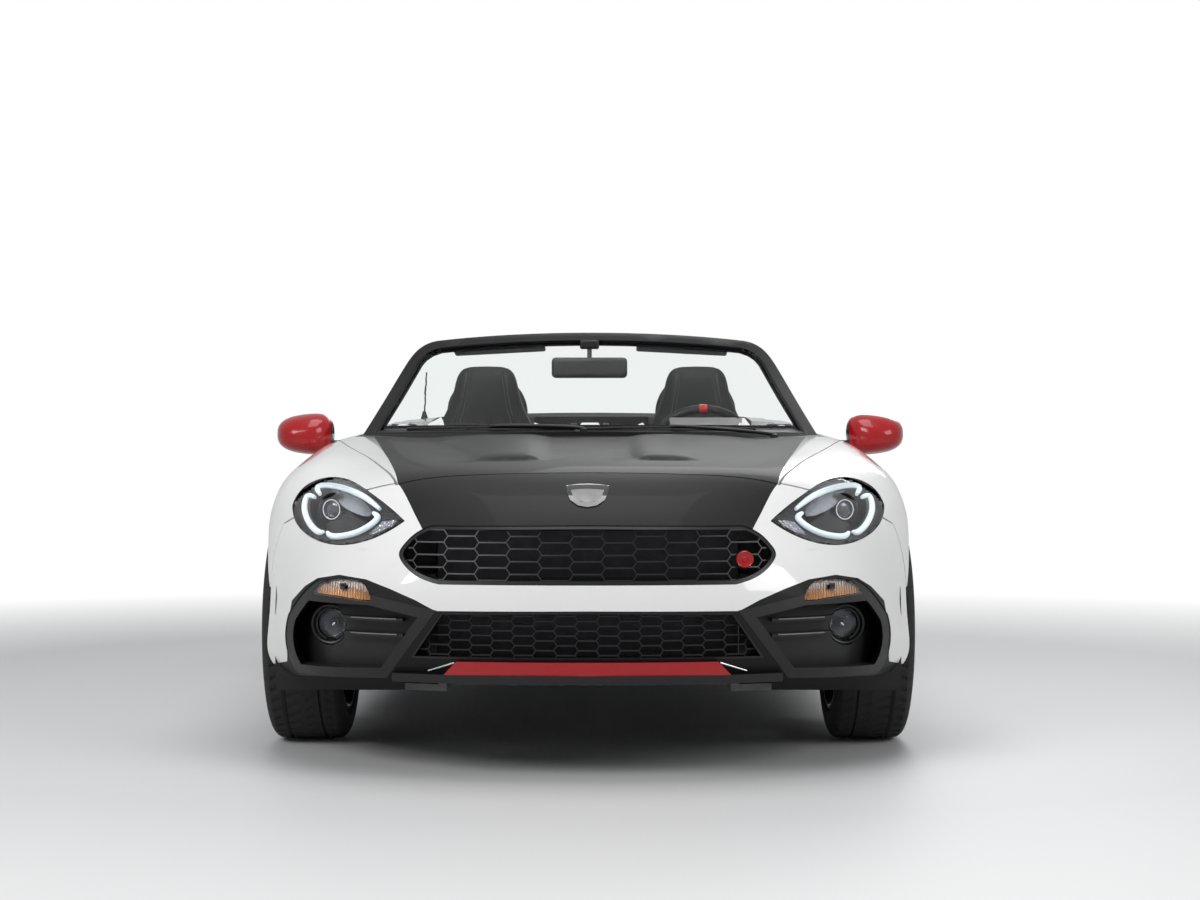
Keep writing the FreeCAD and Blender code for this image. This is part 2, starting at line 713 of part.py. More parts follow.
def honeycomb(wide, tall, pitch, height, bar):
    """Rows of long hexagons that fill a rectangle, every other column half a cell lower."""
    point = height / 2 * 0.62
    flat = pitch - point
    half = flat / 2
    rise = (height - bar) / 2
    slim = 1 - bar / (2 * pitch)
    columns = math.ceil(wide / pitch)
    rows = math.ceil(tall / height)
    cells = []
    for column in range(-columns, columns + 1):
        for row in range(-rows, rows + 1):
            x = column * pitch
            z = row * height + (height / 2 if column % 2 else 0)
            if abs(z) < (tall + height) / 2:
                corners = [
                    (half, rise), (half + point, 0), (half, -rise),
                    (-half, -rise), (-half - point, 0), (-half, rise),
                ]
                cells.append([(x + a * slim, z + b) for a, b in corners])
    return cells


def comb_bars(cells, level, wide, tall):
    """A flat sheet with hexagonal holes, drawn out along the car."""
    low, high = ALONG.place(-2200), ALONG.place(-1600)
    edge = [(-wide, -tall), (wide, -tall), (wide, tall), (-wide, tall)]
    loops = []
    for loop in [edge] + cells:
        ring = [Vector(a, low, level + b) for a, b in loop]
        loops.append(Part.makePolygon(ring + ring[:1]))
    sheet = Part.Face(loops[0])
    holes = Part.makeCompound([Part.Face(loop) for loop in loops[1:]])
    return sheet.cut(holes).extrude(Vector(0, high - low, 0))


def grille_plate(curve, low, high, lean):
    """A plate bowed in plan, leaning back as it rises."""
    thick = size("grille_depth")
    front = [spot(x, y, low) for x, y in curve]
    faces = []
    for shift in (0, thick):
        line = Part.BSplineCurve()
        line.interpolate([point + Vector(0, shift, 0) for point in front])
        faces.append(line.toShape())
    sides = [Part.makeLine(front[0], front[0] + Vector(0, thick, 0))]
    sides.append(Part.makeLine(front[-1], front[-1] + Vector(0, thick, 0)))
    base = Part.Face(Part.Wire(Part.__sortEdges__(faces + sides)))
    return base.extrude(Vector(0, lean, UP.place(high) - UP.place(low)))


def grille(name, runs, curve, levels, lean, pitch, height, rim):
    """A framed honeycomb that fills one opening."""
    low, high = levels
    hole = feature(f"{name}_hole", prism(runs, "front", -2200, -1600, -rim))
    plate = feature(f"{name}_plate", grille_plate(curve, low, high, lean))
    cells = honeycomb(curve[-1][0], UP.place(high) - UP.place(low), pitch, height, size("cell_bar"))
    middle, tall = UP.place((low + high) / 2), UP.place(high) - UP.place(low)
    bars = feature(f"{name}_bars", comb_bars(cells, middle, curve[-1][0] + pitch, tall))
    comb = common(f"{name}_comb", common(f"{name}_inner", plate, hole), bars)
    form = feature(f"{name}_form", prism(runs, "front", -2200, -1600, -REST))
    ring = cut(f"{name}_ring", layer(name, form, FLUSH, FITTING_DEPTH), hole)
    return fuse(f"{name}_grille", [comb, ring])


UPPER_CURVE = [(-470, -1903), (-240, -1980), (0, -1999), (240, -1980), (470, -1903)]
LOWER_CURVE = [(-440, -1928), (-240, -1981), (0, -1998), (240, -1981), (440, -1928)]
upper_cells = size("upper_cell_pitch"), size("upper_cell_height")
lower_cells = size("lower_cell_pitch"), size("lower_cell_height")
upper_grille = grille("upper", UPPER_GRILLE, UPPER_CURVE, (450, 616), 52, *upper_cells, 9)
lower_grille = grille("lower", LOWER_GRILLE, LOWER_CURVE, (280, 410), 0, *lower_cells, 5)
tow_cap = rod("tow_cap", "21", "y", (374, -1938, 522), "40")
piece(fuse("grille_set", [upper_grille, lower_grille, tow_cap]), "grilles")

lamp_form = feature("lamp_form", both_sides(prism(HEADLAMP, "front", -2200, -1470, -REST)))
piece(layer("lamp", lamp_form, FLUSH, FITTING_DEPTH), "headlamps")
tail_form = feature("tail_form", both_sides(prism(TAIL_LAMP, "front", 1560, 2200, -REST)))
piece(cut("tail_lamp_set", layer("tail", tail_form, FLUSH, FITTING_DEPTH), trunk_room), "tail_lamps")

# Corner intakes: a deep surround, two blades and a fog lamp
pod_form = feature("pod_form", both_sides(prism(CORNER_POD, "front", -2200, -1400, -REST)))
pod_well = feature("pod_well", both_sides(prism(CORNER_POD, "front", -2200, -1400, -26)))
pod_block = layer("pod", pod_form, FLUSH, FITTING_DEPTH)
pod_ring = cut("pod_ring", pod_block, pod_well)
pod_floor = common("pod_floor", pod_block, skin_at(58))
fog_lamp = Part.makeCylinder(50, 130, spot(635, -1760, 352), Vector(0, 1, 0))
fog_lamps = feature("fog_lamps", both_sides(fog_lamp))
fog_layer = common("fog_layer", common("fog_block", pod_block, fog_lamps), skin_at(22))
blades = []
for level in (335, 372):
    blades.append(feature(f"blade_{level}", both_sides(Part.makeBox(190, 400, 9, spot(440, -2000, level)))))
blade_block = common("blade_block", pod_block, fuse("blade_forms", blades))
blade_part = common("blade_part", blade_block, skin_at(34))
turn_zone = box("turn_zone", (520, 690), (-2200, -1400), (412, 470))
turn_zones = fuse("turn_zones", [turn_zone, mirror("turn_zone_twin", turn_zone)])
turn_lamps = common("turn_lamps", pod_block, turn_zones)
pods = fuse("pods", [pod_ring, pod_floor, fog_layer, blade_part, turn_lamps])
piece(cut("pod_set", pods, [front_arch, mirror("front_arch_twin", front_arch)]), "corner_intakes")

# Splitter under the nose, and the red strip above it
SPLITTER = mirrored([
    [(0, -2017), (235, -2003), (400, -1958), (465, -1932)],
    [(465, -1932), (465, -1842)],
    [(465, -1842), (0, -1900)],
])
splitter = prism(SPLITTER, "plan", 232, 252)
splitter.translate(Vector(0, 0, -REST))
piece(feature("splitter", splitter), "front_splitter")
STRIP = straight([(-339, 252), (339, 252), (309, 284), (-309, 284)])
strip_form = feature("strip_form", prism(STRIP, "front", -2200, -1850))
strip_front = common("strip_front", strip_form, skin_at(-5))
piece(cut("strip", strip_front, outer), "lip_strip")

# Windshield: one curved sheet, cut into its frame and its glass
WINDSHIELD_ROWS = [
    [(0, -655, 798), (270, -645, 798), (480, -622, 796), (640, -590, 790), (760, -560, 775)],
    [(0, -430, 932), (263, -424, 931), (466, -400, 924), (615, -352, 908), (722, -300, 885)],
    [(0, -205, 1056), (255, -202, 1053), (450, -186, 1042), (588, -150, 1018), (684, -105, 986)],
    [(0, 20, 1166), (248, 18, 1161), (438, 8, 1146), (562, -14, 1112), (650, 20, 1075)],
    [(0, 110, 1205), (244, 106, 1200), (432, 90, 1184), (552, 60, 1150), (630, 50, 1110)],
]
screen = net_poles(both_halves(WINDSHIELD_ROWS))
frame_sheet = feature("frame_sheet", slab(screen, inward(screen, size("frame_depth"))))
glass_depth = 9
glass_sheet = slab(inward(screen, glass_depth), inward(screen, glass_depth + size("glass_thickness")))
frame_form = feature("frame_form", prism(WINDSHIELD, "front", -700, 200))
glass_hole = feature("glass_hole", prism(GLASS, "front", -700, 200))
frame_blank = common("frame_blank", frame_sheet, frame_form)
hood_swing = box("hood_swing", (-700, 700), (-700, -590), (700, 900))
piece(cut("screen_frame", frame_blank, [glass_hole, hood_swing, skin_at(-REST)]), "windshield_frame")
glass_form = feature("glass_form", prism(GLASS, "front", -700, 200, -REST))
piece(common("glass", feature("glass_sheet", glass_sheet), glass_form), "windshield_glass")

# Folded roof in its well behind the seats
roof_zone = box("roof_zone", (-560, 560), (620, 1008), ("642 + Sizes.seat_gap", 950))
piece(common("folded_roof", skin_at(FLUSH), roof_zone), "soft_top")

# Floor tub: floor, sills, bulkheads, wheel walls and the rails that carry the panels
FLOOR = "Sizes.floor_height"
FLOOR_TOP = "Sizes.floor_height + Sizes.floor_plate"
HALF_BEAM = "Sizes.beam_width / 2"
NOSE_END = "-600 - Sizes.seat_gap"
TAIL_START = "618 + Sizes.seat_gap"
SILL_TOP = "250"
ON_SILL = f"{SILL_TOP} + Sizes.seat_gap"
PLATE_FOOT = (f"{FLOOR_TOP} + Sizes.seat_gap", SILL_TOP + " + 1")
INSIDE_SILLS = ("-(630 - Sizes.seat_gap)", "630 - Sizes.seat_gap")
cabin_parts = [
    box("floor", (-690, 690), (-600, 618), (FLOOR, FLOOR_TOP)),
    box("tunnel", (-120, 120), (-600, 618), (FLOOR, 330)),
]
cabin_sides = [
    box("sill", (630, 800), (-800, 800), (FLOOR, SILL_TOP)),
    box("sill_flange", (682, "Sizes.door_inner - Sizes.seat_gap"), (-400, 470), (249, 300)),
]
firewall_parts = [
    box("firewall_plate", (-700, 700), (-600, -582), (ON_SILL, 900)),
    box("firewall_foot", INSIDE_SILLS, (-600, -582), PLATE_FOOT),
    box("dash_beam", (-690, 690), (-583, "-435 - Sizes.seat_gap"), (570, 600)),
]
firewall_sides = [box("hinge_post", (640, 830), (-604, -512), (ON_SILL, 900))]
bulkhead_parts = [
    box("bulkhead_plate", (-700, 700), (600, 618), (ON_SILL, 800)),
    box("bulkhead_foot", INSIDE_SILLS, (600, 618), PLATE_FOOT),
]
bulkhead_sides = [box("lock_post", (640, 830), (524, 618), (ON_SILL, 950))]
nose_parts = [
    box("front_beam", (-640, 640), (-1880, -1820), (410, 470)),
    box("radiator_tie", (-640, 640), (-1740, -1722), (560, 800)),
    box("radiator", (-370, 370), (-1740, -1722), (254, 600)),
    box("lower_tie", (-430, 430), (-1900, -1722), (254, 272)),
]
nose_sides = [
    box("front_rail", (f"400 - {HALF_BEAM}", f"400 + {HALF_BEAM}"), (-1822, NOSE_END), (380, 480)),
    box("wing_wall", (650, 664), (-1742, "-604 - Sizes.seat_gap"), (420, 900)),
    box("tower_top", (429, 664), (-1258, -1078), (690, 705)),
    box("tower_web", (429, 443), (-1258, -1078), (479, 705)),
    box("nose_rib", (380, 900), (-1640, -1626), (254, 640)),
    box("lower_strut", (400, 414), (-1900, -1626), (254, 480)),
]
tail_parts = [
    box("well_floor", (-700, 700), (TAIL_START, 1012), (624, 642)),
    box("well_back", (-700, 700), (1011, 1025), (348, 950)),
    box("boot_floor", (-552, 552), (TAIL_START, 1872), (330, 348)),
    box("boot_back", (-700, 700), (1860, 1872), (330, 800)),
]
tail_sides = [
    box("boot_wall", (540, 552), (TAIL_START, 1872), (330, 900)),
    box("shelf", (551, 900), (1011, 1290), (690, 705)),
    box("tail_rib", (551, 900), (1500, 1514), (330, 900)),
]
front_well = rod("front_well", "Sizes.wheelhouse_radius", "x", (430, FRONT_AXLE, "Sizes.tyre_radius"), "480")
rear_well = rod("rear_well", "Sizes.arch_radius + 12", "x", (620, REAR_AXLE, "Sizes.tyre_radius"), "300")
rail_end = box("rail_end", (360, 445), (-1400, -900), (300, 706))
front_well_clear = cut("front_well_clear", front_well, rail_end)
front_wells = [front_well_clear, mirror("front_well_twin", front_well_clear)]
rear_wells = [rear_well, mirror("rear_well_twin", rear_well)]
tunnel_inside = box("tunnel_inside", (-95, 95), (-620, 620), (0, 305))
TUNNEL_EDGE = "120 + Sizes.seat_gap"
tunnel_room = box("tunnel_room", (f"-({TUNNEL_EDGE})", TUNNEL_EDGE), (-620, 640), (0, "330 + Sizes.seat_gap"))
ROOF_EDGE = "560 + Sizes.seat_gap"
roof_seat = box("roof_seat", (f"-({ROOF_EDGE})", ROOF_EDGE), (599, "1008 + Sizes.seat_gap"), (642, 950))


def seat_cut(name, runs, low, high):
    """The room that a lamp, pod or grille takes up in the frame."""
    room = feature(f"{name}_seat", prism(runs, "front", low, high, REST))
    if runs in (HEADLAMP, CORNER_POD, TAIL_LAMP):
        room = feature(f"{name}_seats", both_sides(room.Shape))
    return cut(f"{name}_cut", room, skin_at(FITTING_DEPTH + REST))


nose_seats = [
    seat_cut("lamp", HEADLAMP, -2200, -1400),
    seat_cut("pod_frame", CORNER_POD, -2200, -1400),
    seat_cut("upper_frame", UPPER_GRILLE, -2200, -1600),
    seat_cut("lower_frame", LOWER_GRILLE, -2200, -1600),
]
tail_lamp_seat = seat_cut("tail_frame", TAIL_LAMP, 1560, 2200)
FRAMES = [
    ("front_frame", nose_parts, nose_sides, front_wells + nose_seats),
    ("firewall", firewall_parts, firewall_sides, [tunnel_room]),
    ("floor_tub", cabin_parts, cabin_sides, front_wells + rear_wells + [tunnel_inside]),
    ("rear_bulkhead", bulkhead_parts, bulkhead_sides, [tunnel_room]),
    ("rear_frame", tail_parts, tail_sides, rear_wells + [roof_seat, tail_lamp_seat]),
]
for label, middle, half, tools in FRAMES:
    side_set = fuse(f"{label}_side", half) if len(half) > 1 else half[0]
    blank = fuse(f"{label}_blank", middle + [side_set, mirror(f"{label}_side_twin", side_set)])
    trimmed = common(f"{label}_trimmed", blank, rest_core)
    piece(cut(f"{label}_set", trimmed, tools), label)

# Cabin
DASH_BACK = [
    (-435, 600), (-435, 808), (-380, 840), (-290, 856), (-190, 856), (-132, 838), (-112, 800),
    (-138, 640), (-220, 560), (-330, 560), (-420, 569),
]
dash_block = padded_body("dash_block", "side", DASH_BACK, "2 * 640")
DASH_HOOD = [(-330, 850), (-180, 884), (-104, 868), (-100, 800), (-300, 800)]
binnacle = padded_body("binnacle", "side", DASH_HOOD, "230")
binnacle.setExpression("Placement.Base.x", "Sizes.wheel_offset")
tilt = Rotation(Vector(1, 0, 0), -size("column_tilt"))
WHEEL_CENTRE = spot(365, 58, 758)
WHEEL_CENTRE.x = size("wheel_offset")
toward = tilt.multVec(Vector(0, 0, 1))
hub_back = 22
RING_SIDES = 12


def ring(name, major, minor):
    """A ring about the Z axis with a twelve-sided section."""
    body = new_body(name)
    turns = [2 * math.pi * step / RING_SIDES for step in range(RING_SIDES)]
    corners = [(f"{major} + {minor} * {math.cos(a):.4f}", f"{minor} * {math.sin(a):.4f}") for a in turns]
    turned(body, sketch(body, "front", corners, placed=False), "Revolution", "V_Axis")
    return body


def on_column(name, radius, start, length):
    """A round part on the steering column, from a distance along it."""
    item = doc.addObject("Part::Cylinder", name)
    item.setExpression("Radius", radius)
    item.Height = length
    item.Placement = Placement(WHEEL_CENTRE + toward * start, tilt)
    return item


shroud = on_column("shroud", "38", -230, 230 - hub_back - REST)
piece(fuse("dash", [dash_block, binnacle, shroud]), "dashboard")

rim_ring = ring("rim_ring", "Sizes.steering_radius", "Sizes.grip_radius")
hub = doc.addObject("Part::Cylinder", "wheel_hub")
hub.Radius = 44
hub.Height = hub_back + 14
hub.Placement = Placement(Vector(0, 0, -hub_back), Rotation())
arms = [rim_ring, hub]
for index, angle in enumerate((-8, 188, 270)):
    arm = doc.addObject("Part::Box", f"wheel_arm_{index}")
    arm.setExpression("Length", "Sizes.steering_radius - 2")
    arm.Width = 30
    arm.Height = 8
    turn = Rotation(Vector(0, 0, 1), angle)
    arm.Placement = Placement(turn.multVec(Vector(0, -15, -6)), turn)
    arms.append(arm)
steering = fuse("steering", arms)
steering.Placement = Placement(WHEEL_CENTRE, tilt)
piece(steering, "steering_wheel")

SEAT_SIDE = [
    (-215, 300), (-205, 392), (-100, 402), (150, 372), (262, 368), (318, 470), (402, 760), (452, 900), (482, 1040),
    (505, 1086), (545, 1086), (562, 1040), (540, 900), (520, 760), (452, 430), (400, 250), (330, 225), (-190, 225),
]
ON_FLOOR = f"{FLOOR_TOP} + Sizes.seat_gap"
RAIL_SIDE = [(-160, ON_FLOOR), (300, ON_FLOOR), (300, 226), (-160, 226)]


def front_seat(name, side):
    body = new_body(name)
    pad(body, sketch(body, "side", SEAT_SIDE), "Sizes.seat_width")
    doc.recompute()
    trim = [
        (-60, 1100), (-96, 1080), (-128, 960), (-176, 880), (-214, 820), ("-Sizes.seat_width / 2", 640),
        ("-Sizes.seat_width / 2 - 20", 640), (-260, 1110), (-60, 1110),
    ]
    for sign in (1, -1):
        corners = [(f"{sign} * ({ACROSS.text(x)})", z) for x, z in trim[1:-1]]
        pocket(body, sketch(body, "front", corners), "1400")
    rails = [padded_body(f"{name}_rail_{index}", "side", RAIL_SIDE, "40") for index in (0, 1)]
    for shift, rail in zip((-170, 170), rails):
        rail.Placement = Placement(Vector(shift, 0, 0), Rotation())
    whole = fuse(f"{name}_whole", [body] + rails)
    whole.setExpression("Placement.Base.x", f"{side} * Sizes.seat_offset")
    return whole


piece(front_seat("left_seat", 1), "seat_left")
piece(front_seat("right_seat", -1), "seat_right")

CONSOLE = [
    (-140, "330 + Sizes.seat_gap"), (-140, 560), (-90, 540), (20, 430), (330, 420), (520, 470), (560, 460),
    (560, "330 + Sizes.seat_gap"),
]
console = padded_body("console", "side", CONSOLE, "210")
lever = rod("lever", "7", "z", (0, 60, 425), "85")
knob = doc.addObject("Part::Sphere", "knob")
knob.Radius = 24
knob.Placement = Placement(spot(0, 60, 520), Rotation())
brake = rod("brake_lever", "12", "y", (60, 120, 428), "210")
piece(fuse("console_whole", [console, lever, knob, brake]), "center_console")

# Hoops and wind deflector on the bulkhead
hoop_parts = [box("hoop_base", (-560, 560), (560, "600 - Sizes.seat_gap"), (760, 800))]
for side in (-1, 1):
    for leg in (-125, 125):
        hoop_parts.append(rod(f"hoop_leg_{side}_{leg}", "17", "z", (side * 366 + leg, 582, 790), "120"))
    arc = ring(f"hoop_arc_{side}", "125", "17")
    arc.Placement = Placement(spot(side * 366, 582, 910), Rotation(Vector(1, 0, 0), 90))
    half = box(f"hoop_half_{side}", (side * 366 - 160, side * 366 + 160), (540, 620), (910, 1080))
    hoop_parts.append(common(f"hoop_top_{side}", arc, half))
hoop_parts.append(box("deflector", (-200, 200), (577, 585), (799, 898)))
piece(fuse("hoops", hoop_parts), "roll_hoops")

# Mirrors on the doors
MIRROR_AT = spot(873, -392, 831)
MIRROR_HALF = (86, 60)
MIRROR_STEPS = [(0, 1.0, 0), (-18, 1.01, 0), (-44, 0.93, 2), (-66, 0.78, 5), (-82, 0.56, 8), (-91, 0.3, 10)]


def mirror_ring(step, share, drop):
    """Rounded outline of the mirror at one distance ahead of its glass."""
    points = []
    for index in range(24):
        turn = 2 * math.pi * (index + 0.5) / 24
        flat = [math.copysign(abs(part) ** 0.72, part) for part in (math.cos(turn), math.sin(turn))]
        taper = 1 - 0.16 * flat[0]
        wide, tall = MIRROR_HALF[0] * share * flat[0], MIRROR_HALF[1] * share * flat[1] * taper
        points.append(MIRROR_AT + Vector(wide, step, tall - drop))
    curve = Part.BSplineCurve()
    curve.interpolate(Points=points, PeriodicFlag=True)
    return Part.Wire(curve.toShape())


mirror_rings = [mirror_ring(*step) for step in MIRROR_STEPS]
mirror_form = feature("mirror_form", Part.makeLoft(mirror_rings, True, False))
glass_well = Part.makeLoft([mirror_ring(-9, 0.92, 0), mirror_ring(2, 0.95, 0)], True, True)
mirror_glass_well = feature("mirror_glass_well", glass_well)
mirror_arm = box("mirror_arm", (738, 820), (-450, -412), (790, 812))
mirror_foot = box("mirror_foot", (728, 764), (-470, -395), (760, 808))
mirror_pod = cut("mirror_pod", mirror_form, mirror_glass_well)
mirror_body = fuse("mirror_body", [mirror_pod, mirror_arm, mirror_foot])
mirror_left = cut("mirror_cut", mirror_body, outer)
piece(mirror_left, "mirror_left")
piece(mirror("mirror_twin", mirror_left), "mirror_right")

# Wheels
FLANGE = "Sizes.rim_flange_radius"
BEAD_SEAT = "(Sizes.rim_flange_radius - Sizes.flange_height)"
HALF_RIM = "Sizes.rim_width / 2"
IN_FLANGE = "(Sizes.rim_width / 2 - Sizes.flange_thickness)"
HALF_TYRE = "Sizes.tyre_width / 2"
SIDEWALL = "(Sizes.tyre_radius - Sizes.rim_flange_radius)"


def both_ends(half):
    """An outline symmetric about the wheel's middle plane, from its left half."""
    return half + [(f"-({x})", r) for x, r in reversed(half)]


def tyre(name):
    body = new_body(name)
    half = [
        (f"-({IN_FLANGE} - Sizes.seat_gap)", f"{BEAD_SEAT} + Sizes.seat_gap"),
        (f"-({IN_FLANGE} - Sizes.seat_gap)", f"{FLANGE} + {SIDEWALL} * 0.04"),
        (f"-({HALF_TYRE}) * 0.97", f"{FLANGE} + {SIDEWALL} * 0.16"),
        (f"-({HALF_TYRE})", f"{FLANGE} + {SIDEWALL} * 0.42"),
        (f"-({HALF_TYRE}) * 0.97", f"{FLANGE} + {SIDEWALL} * 0.68"),
        (f"-({HALF_TYRE}) * 0.9", f"{FLANGE} + {SIDEWALL} * 0.88"),
        (f"-({HALF_TYRE}) * 0.8", f"{FLANGE} + {SIDEWALL} * 0.97"),
        (f"-({HALF_TYRE}) * 0.6", "Sizes.tyre_radius"),
    ]
    turned(body, sketch(body, "plan", both_ends(half), placed=False))
    return body


def rim(name):
    body = new_body(name)
    outside = [
        (f"-({HALF_RIM})", FLANGE), (f"-{IN_FLANGE}", FLANGE), (f"-{IN_FLANGE}", BEAD_SEAT),
        ("-52", f"{BEAD_SEAT} - 2"), ("-32", f"{BEAD_SEAT} - Sizes.well_depth"),
    ]
    inside = [
        ("-30", f"{BEAD_SEAT} - Sizes.well_depth - Sizes.rim_wall"),
        ("-50", f"{BEAD_SEAT} - 2 - Sizes.rim_wall"),
        (f"-{IN_FLANGE}", f"{BEAD_SEAT} - Sizes.rim_wall"),
        (f"-({HALF_RIM})", f"{FLANGE} - 8"),
    ]
    loop = both_ends(outside) + [(f"-({x})", r) for x, r in reversed(inside)] + inside
    turned(body, sketch(body, "plan", loop, placed=False))
    face = "Sizes.hub_face"
    hub_loop = [
        (face, "0"), (face, "Sizes.hub_radius"), (f"{face} + 24", "Sizes.hub_radius - 4"),
        (f"{face} + 30", "36"), (f"{face} + 24", "30"), (f"{face} + 24", "0"),
    ]
    turned(body, sketch(body, "plan", hub_loop, placed=False))
    reach = f"({BEAD_SEAT} - 5)"
    fork = [
        ("-27", "52"), ("27", "52"), ("34", "100"), ("76", f"{reach} - 14"), ("48", f"{reach} - 5.5"),
        ("0", "108"), ("-48", f"{reach} - 5.5"), ("-76", f"{reach} - 14"), ("-34", "100"),
    ]
    fork_outline = sketch(body, "side", fork, f"{face} + 2", placed=False)
    arm = pad(body, fork_outline, f"{HALF_RIM} - {face} - 4", False)
    doc.recompute()
    ring = body.newObject("PartDesign::PolarPattern", f"{name}_spokes")
    ring.Originals = [arm]
    ring.Axis = (next(item for item in body.Origin.OriginFeatures if item.Role == "X_Axis"), [""])
    ring.Angle = 360
    ring.setExpression("Occurrences", "Sizes.spoke_pairs")
    body.Tip = ring
    doc.recompute()
    dish = [
        (f"{face} + 25", "Sizes.hub_radius + 2"), (f"{face} + 30", "130"),
        (f"{HALF_RIM} - 5", f"{BEAD_SEAT} - 12"), (f"{HALF_RIM} + 10", f"{BEAD_SEAT} - 12"),
        (f"{HALF_RIM} + 10", "Sizes.hub_radius + 2"),
    ]
    turned(body, sketch(body, "plan", dish, placed=False), "Groove")
    back = [
        (face, "Sizes.hub_radius + 2"), (f"{face} + 4", "130"), (f"{HALF_RIM} - 34", f"{BEAD_SEAT} - 29"),
        (f"{face} - 20", f"{BEAD_SEAT} - 29"), (f"{face} - 20", "Sizes.hub_radius + 2"),
    ]
    turned(body, sketch(body, "plan", back, placed=False), "Groove")
    return body


def disc(name):
    body = new_body(name)
    back = "(Sizes.hub_face - Sizes.seat_gap)"
    front = f"({back} - 40)"
    loop = [
        (f"{back} - 7", "30"), (back, "30"), (back, "76"), (front, "76"), (front, "Sizes.disc_radius"),
        (f"{front} - Sizes.disc_thickness", "Sizes.disc_radius"), (f"{front} - Sizes.disc_thickness", "69"),
        (f"{back} - 7", "69"),
    ]
    turned(body, sketch(body, "plan", loop, placed=False))
    return body


CORNERS = {
    "front_left": ("Sizes.track_front / 2", FRONT_AXLE, 0),
    "front_right": ("-Sizes.track_front / 2", FRONT_AXLE, 180),
    "rear_left": ("Sizes.track_rear / 2", REAR_AXLE, 0),
    "rear_right": ("-Sizes.track_rear / 2", REAR_AXLE, 180),
}
for corner, (side, axle, turn) in CORNERS.items():
    for kind, make in (("tyre", tyre), ("rim", rim), ("disc", disc)):
        item = make(f"{kind}_{corner}")
        item.Placement = Placement(Vector(), Rotation(Vector(0, 0, 1), turn))
        for letter, text in (("x", side), ("y", axle), ("z", "Sizes.tyre_radius")):
            item.setExpression(f"Placement.Base.{letter}", text)
        piece(item, f"{kind}_{corner}")

# Steered knuckles with their brake calipers
WHEEL_X = "Sizes.track_front / 2"
REAR_X = "Sizes.track_rear / 2"
HUB_END = "Sizes.hub_face - Sizes.seat_gap - 7 - Sizes.seat_gap"


def at_axle(axle, shift):
    return f"{axle} + {shift}"


def level(shift):
    return f"Sizes.tyre_radius + {shift}"


def carrier(name, wheel_x, axle):
    """Hub carrier and caliper of a left wheel."""
    hub_level = "Sizes.tyre_radius"
    parts = [
        rod(f"{name}_hub", "30 - 2 * Sizes.seat_gap", "x", (f"{wheel_x} - 60", axle, hub_level), f"60 + {HUB_END}"),
        rod(f"{name}_flange", "62", "x", (f"{wheel_x} + 12", axle, hub_level), f"{HUB_END} - 12"),
        box(f"{name}_upright", (f"{wheel_x} - 64", f"{wheel_x} - 34"),
            (at_axle(axle, -30), at_axle(axle, 30)), (level(-118), level(128))),
        rod(f"{name}_lower_boss", "15", "z", ("Sizes.kingpin_offset", axle, level(-150)), "50"),
        rod(f"{name}_upper_boss", "15", "z", ("Sizes.kingpin_offset", axle, level(112)), "40"),
        box(f"{name}_bracket", (f"{wheel_x} - 60", f"{wheel_x} - 36"),
            (at_axle(axle, 20), at_axle(axle, 110)), (level(-30), level(30))),
    ]
    caliper = box(f"{name}_caliper", (f"{wheel_x} - 56", f"{wheel_x} + 24"),
                  (at_axle(axle, 92), at_axle(axle, 168)), (level(-58), level(58)))
    slot = rod(f"{name}_slot", "Sizes.disc_radius + 5", "x",
               (f"{wheel_x} + Sizes.hub_face - 42 - Sizes.disc_thickness", axle, "Sizes.tyre_radius"),
               "Sizes.disc_thickness + 3.4")
    clear = rod(f"{name}_clear", "82", "x", (f"{wheel_x} - 30", axle, "Sizes.tyre_radius"), "100")
    parts.append(cut(f"{name}_caliper_cut", caliper, [slot, clear]))
    return fuse(name, parts)


knuckle_left = carrier("front_carrier", WHEEL_X, FRONT_AXLE)
piece(knuckle_left, "knuckle_left")
piece(mirror("front_carrier_twin", knuckle_left), "knuckle_right")


# Suspension: plain arms and dampers, fixed at rest height
def arm(name, axle, inner, spread, base, thick):
    """A triangular arm in plan, from two pivots to its outer joint."""
    corners = [
        (inner, at_axle(axle, -spread)), ("Sizes.kingpin_offset + 12", at_axle(axle, -22)),
        ("Sizes.kingpin_offset + 12", at_axle(axle, 22)), (inner, at_axle(axle, spread)),
        (inner, at_axle(axle, spread - 45)), ("Sizes.kingpin_offset - 70", axle),
        (inner, at_axle(axle, 45 - spread)),
    ]
    return padded_body(name, "plan", corners, thick, base)


def damper(name, x, y, low, high):
    lower = rod(f"{name}_tube", "22", "z", (x, y, low), f"({high}) - ({low})")
    spring = rod(f"{name}_spring", "40", "z", (x, y, f"({low}) + 150"), f"({high}) - ({low}) - 150")
    return fuse(name, [lower, spring])


LOWER_JOINT = "Sizes.tyre_radius - 150 - Sizes.seat_gap"
UPPER_JOINT = "Sizes.tyre_radius + 152 + Sizes.seat_gap"
TOWER = "690 - Sizes.seat_gap"
front_side = [
    arm("front_lower_arm", FRONT_AXLE, "398", 130, f"{LOWER_JOINT} - 18", "18"),
    arm("front_upper_arm", FRONT_AXLE, "430 + Sizes.seat_gap", 80, UPPER_JOINT, "16"),
    box("front_damper_foot", (515, 575), (at_axle(FRONT_AXLE, -90), at_axle(FRONT_AXLE, 90)),
        (f"{LOWER_JOINT} - 18", f"{LOWER_JOINT} + 10")),
    damper("front_damper", "545", FRONT_AXLE, LOWER_JOINT, TOWER),
    box("subframe_leg", (378, 400), (at_axle(FRONT_AXLE, -135), at_axle(FRONT_AXLE, 135)),
        (f"{LOWER_JOINT} - 18", "380 - Sizes.seat_gap")),
]
front_half = fuse("front_half", front_side)
crossmember = box("crossmember", (-380, 380), (at_axle(FRONT_AXLE, -60), at_axle(FRONT_AXLE, 60)), (150, 190))
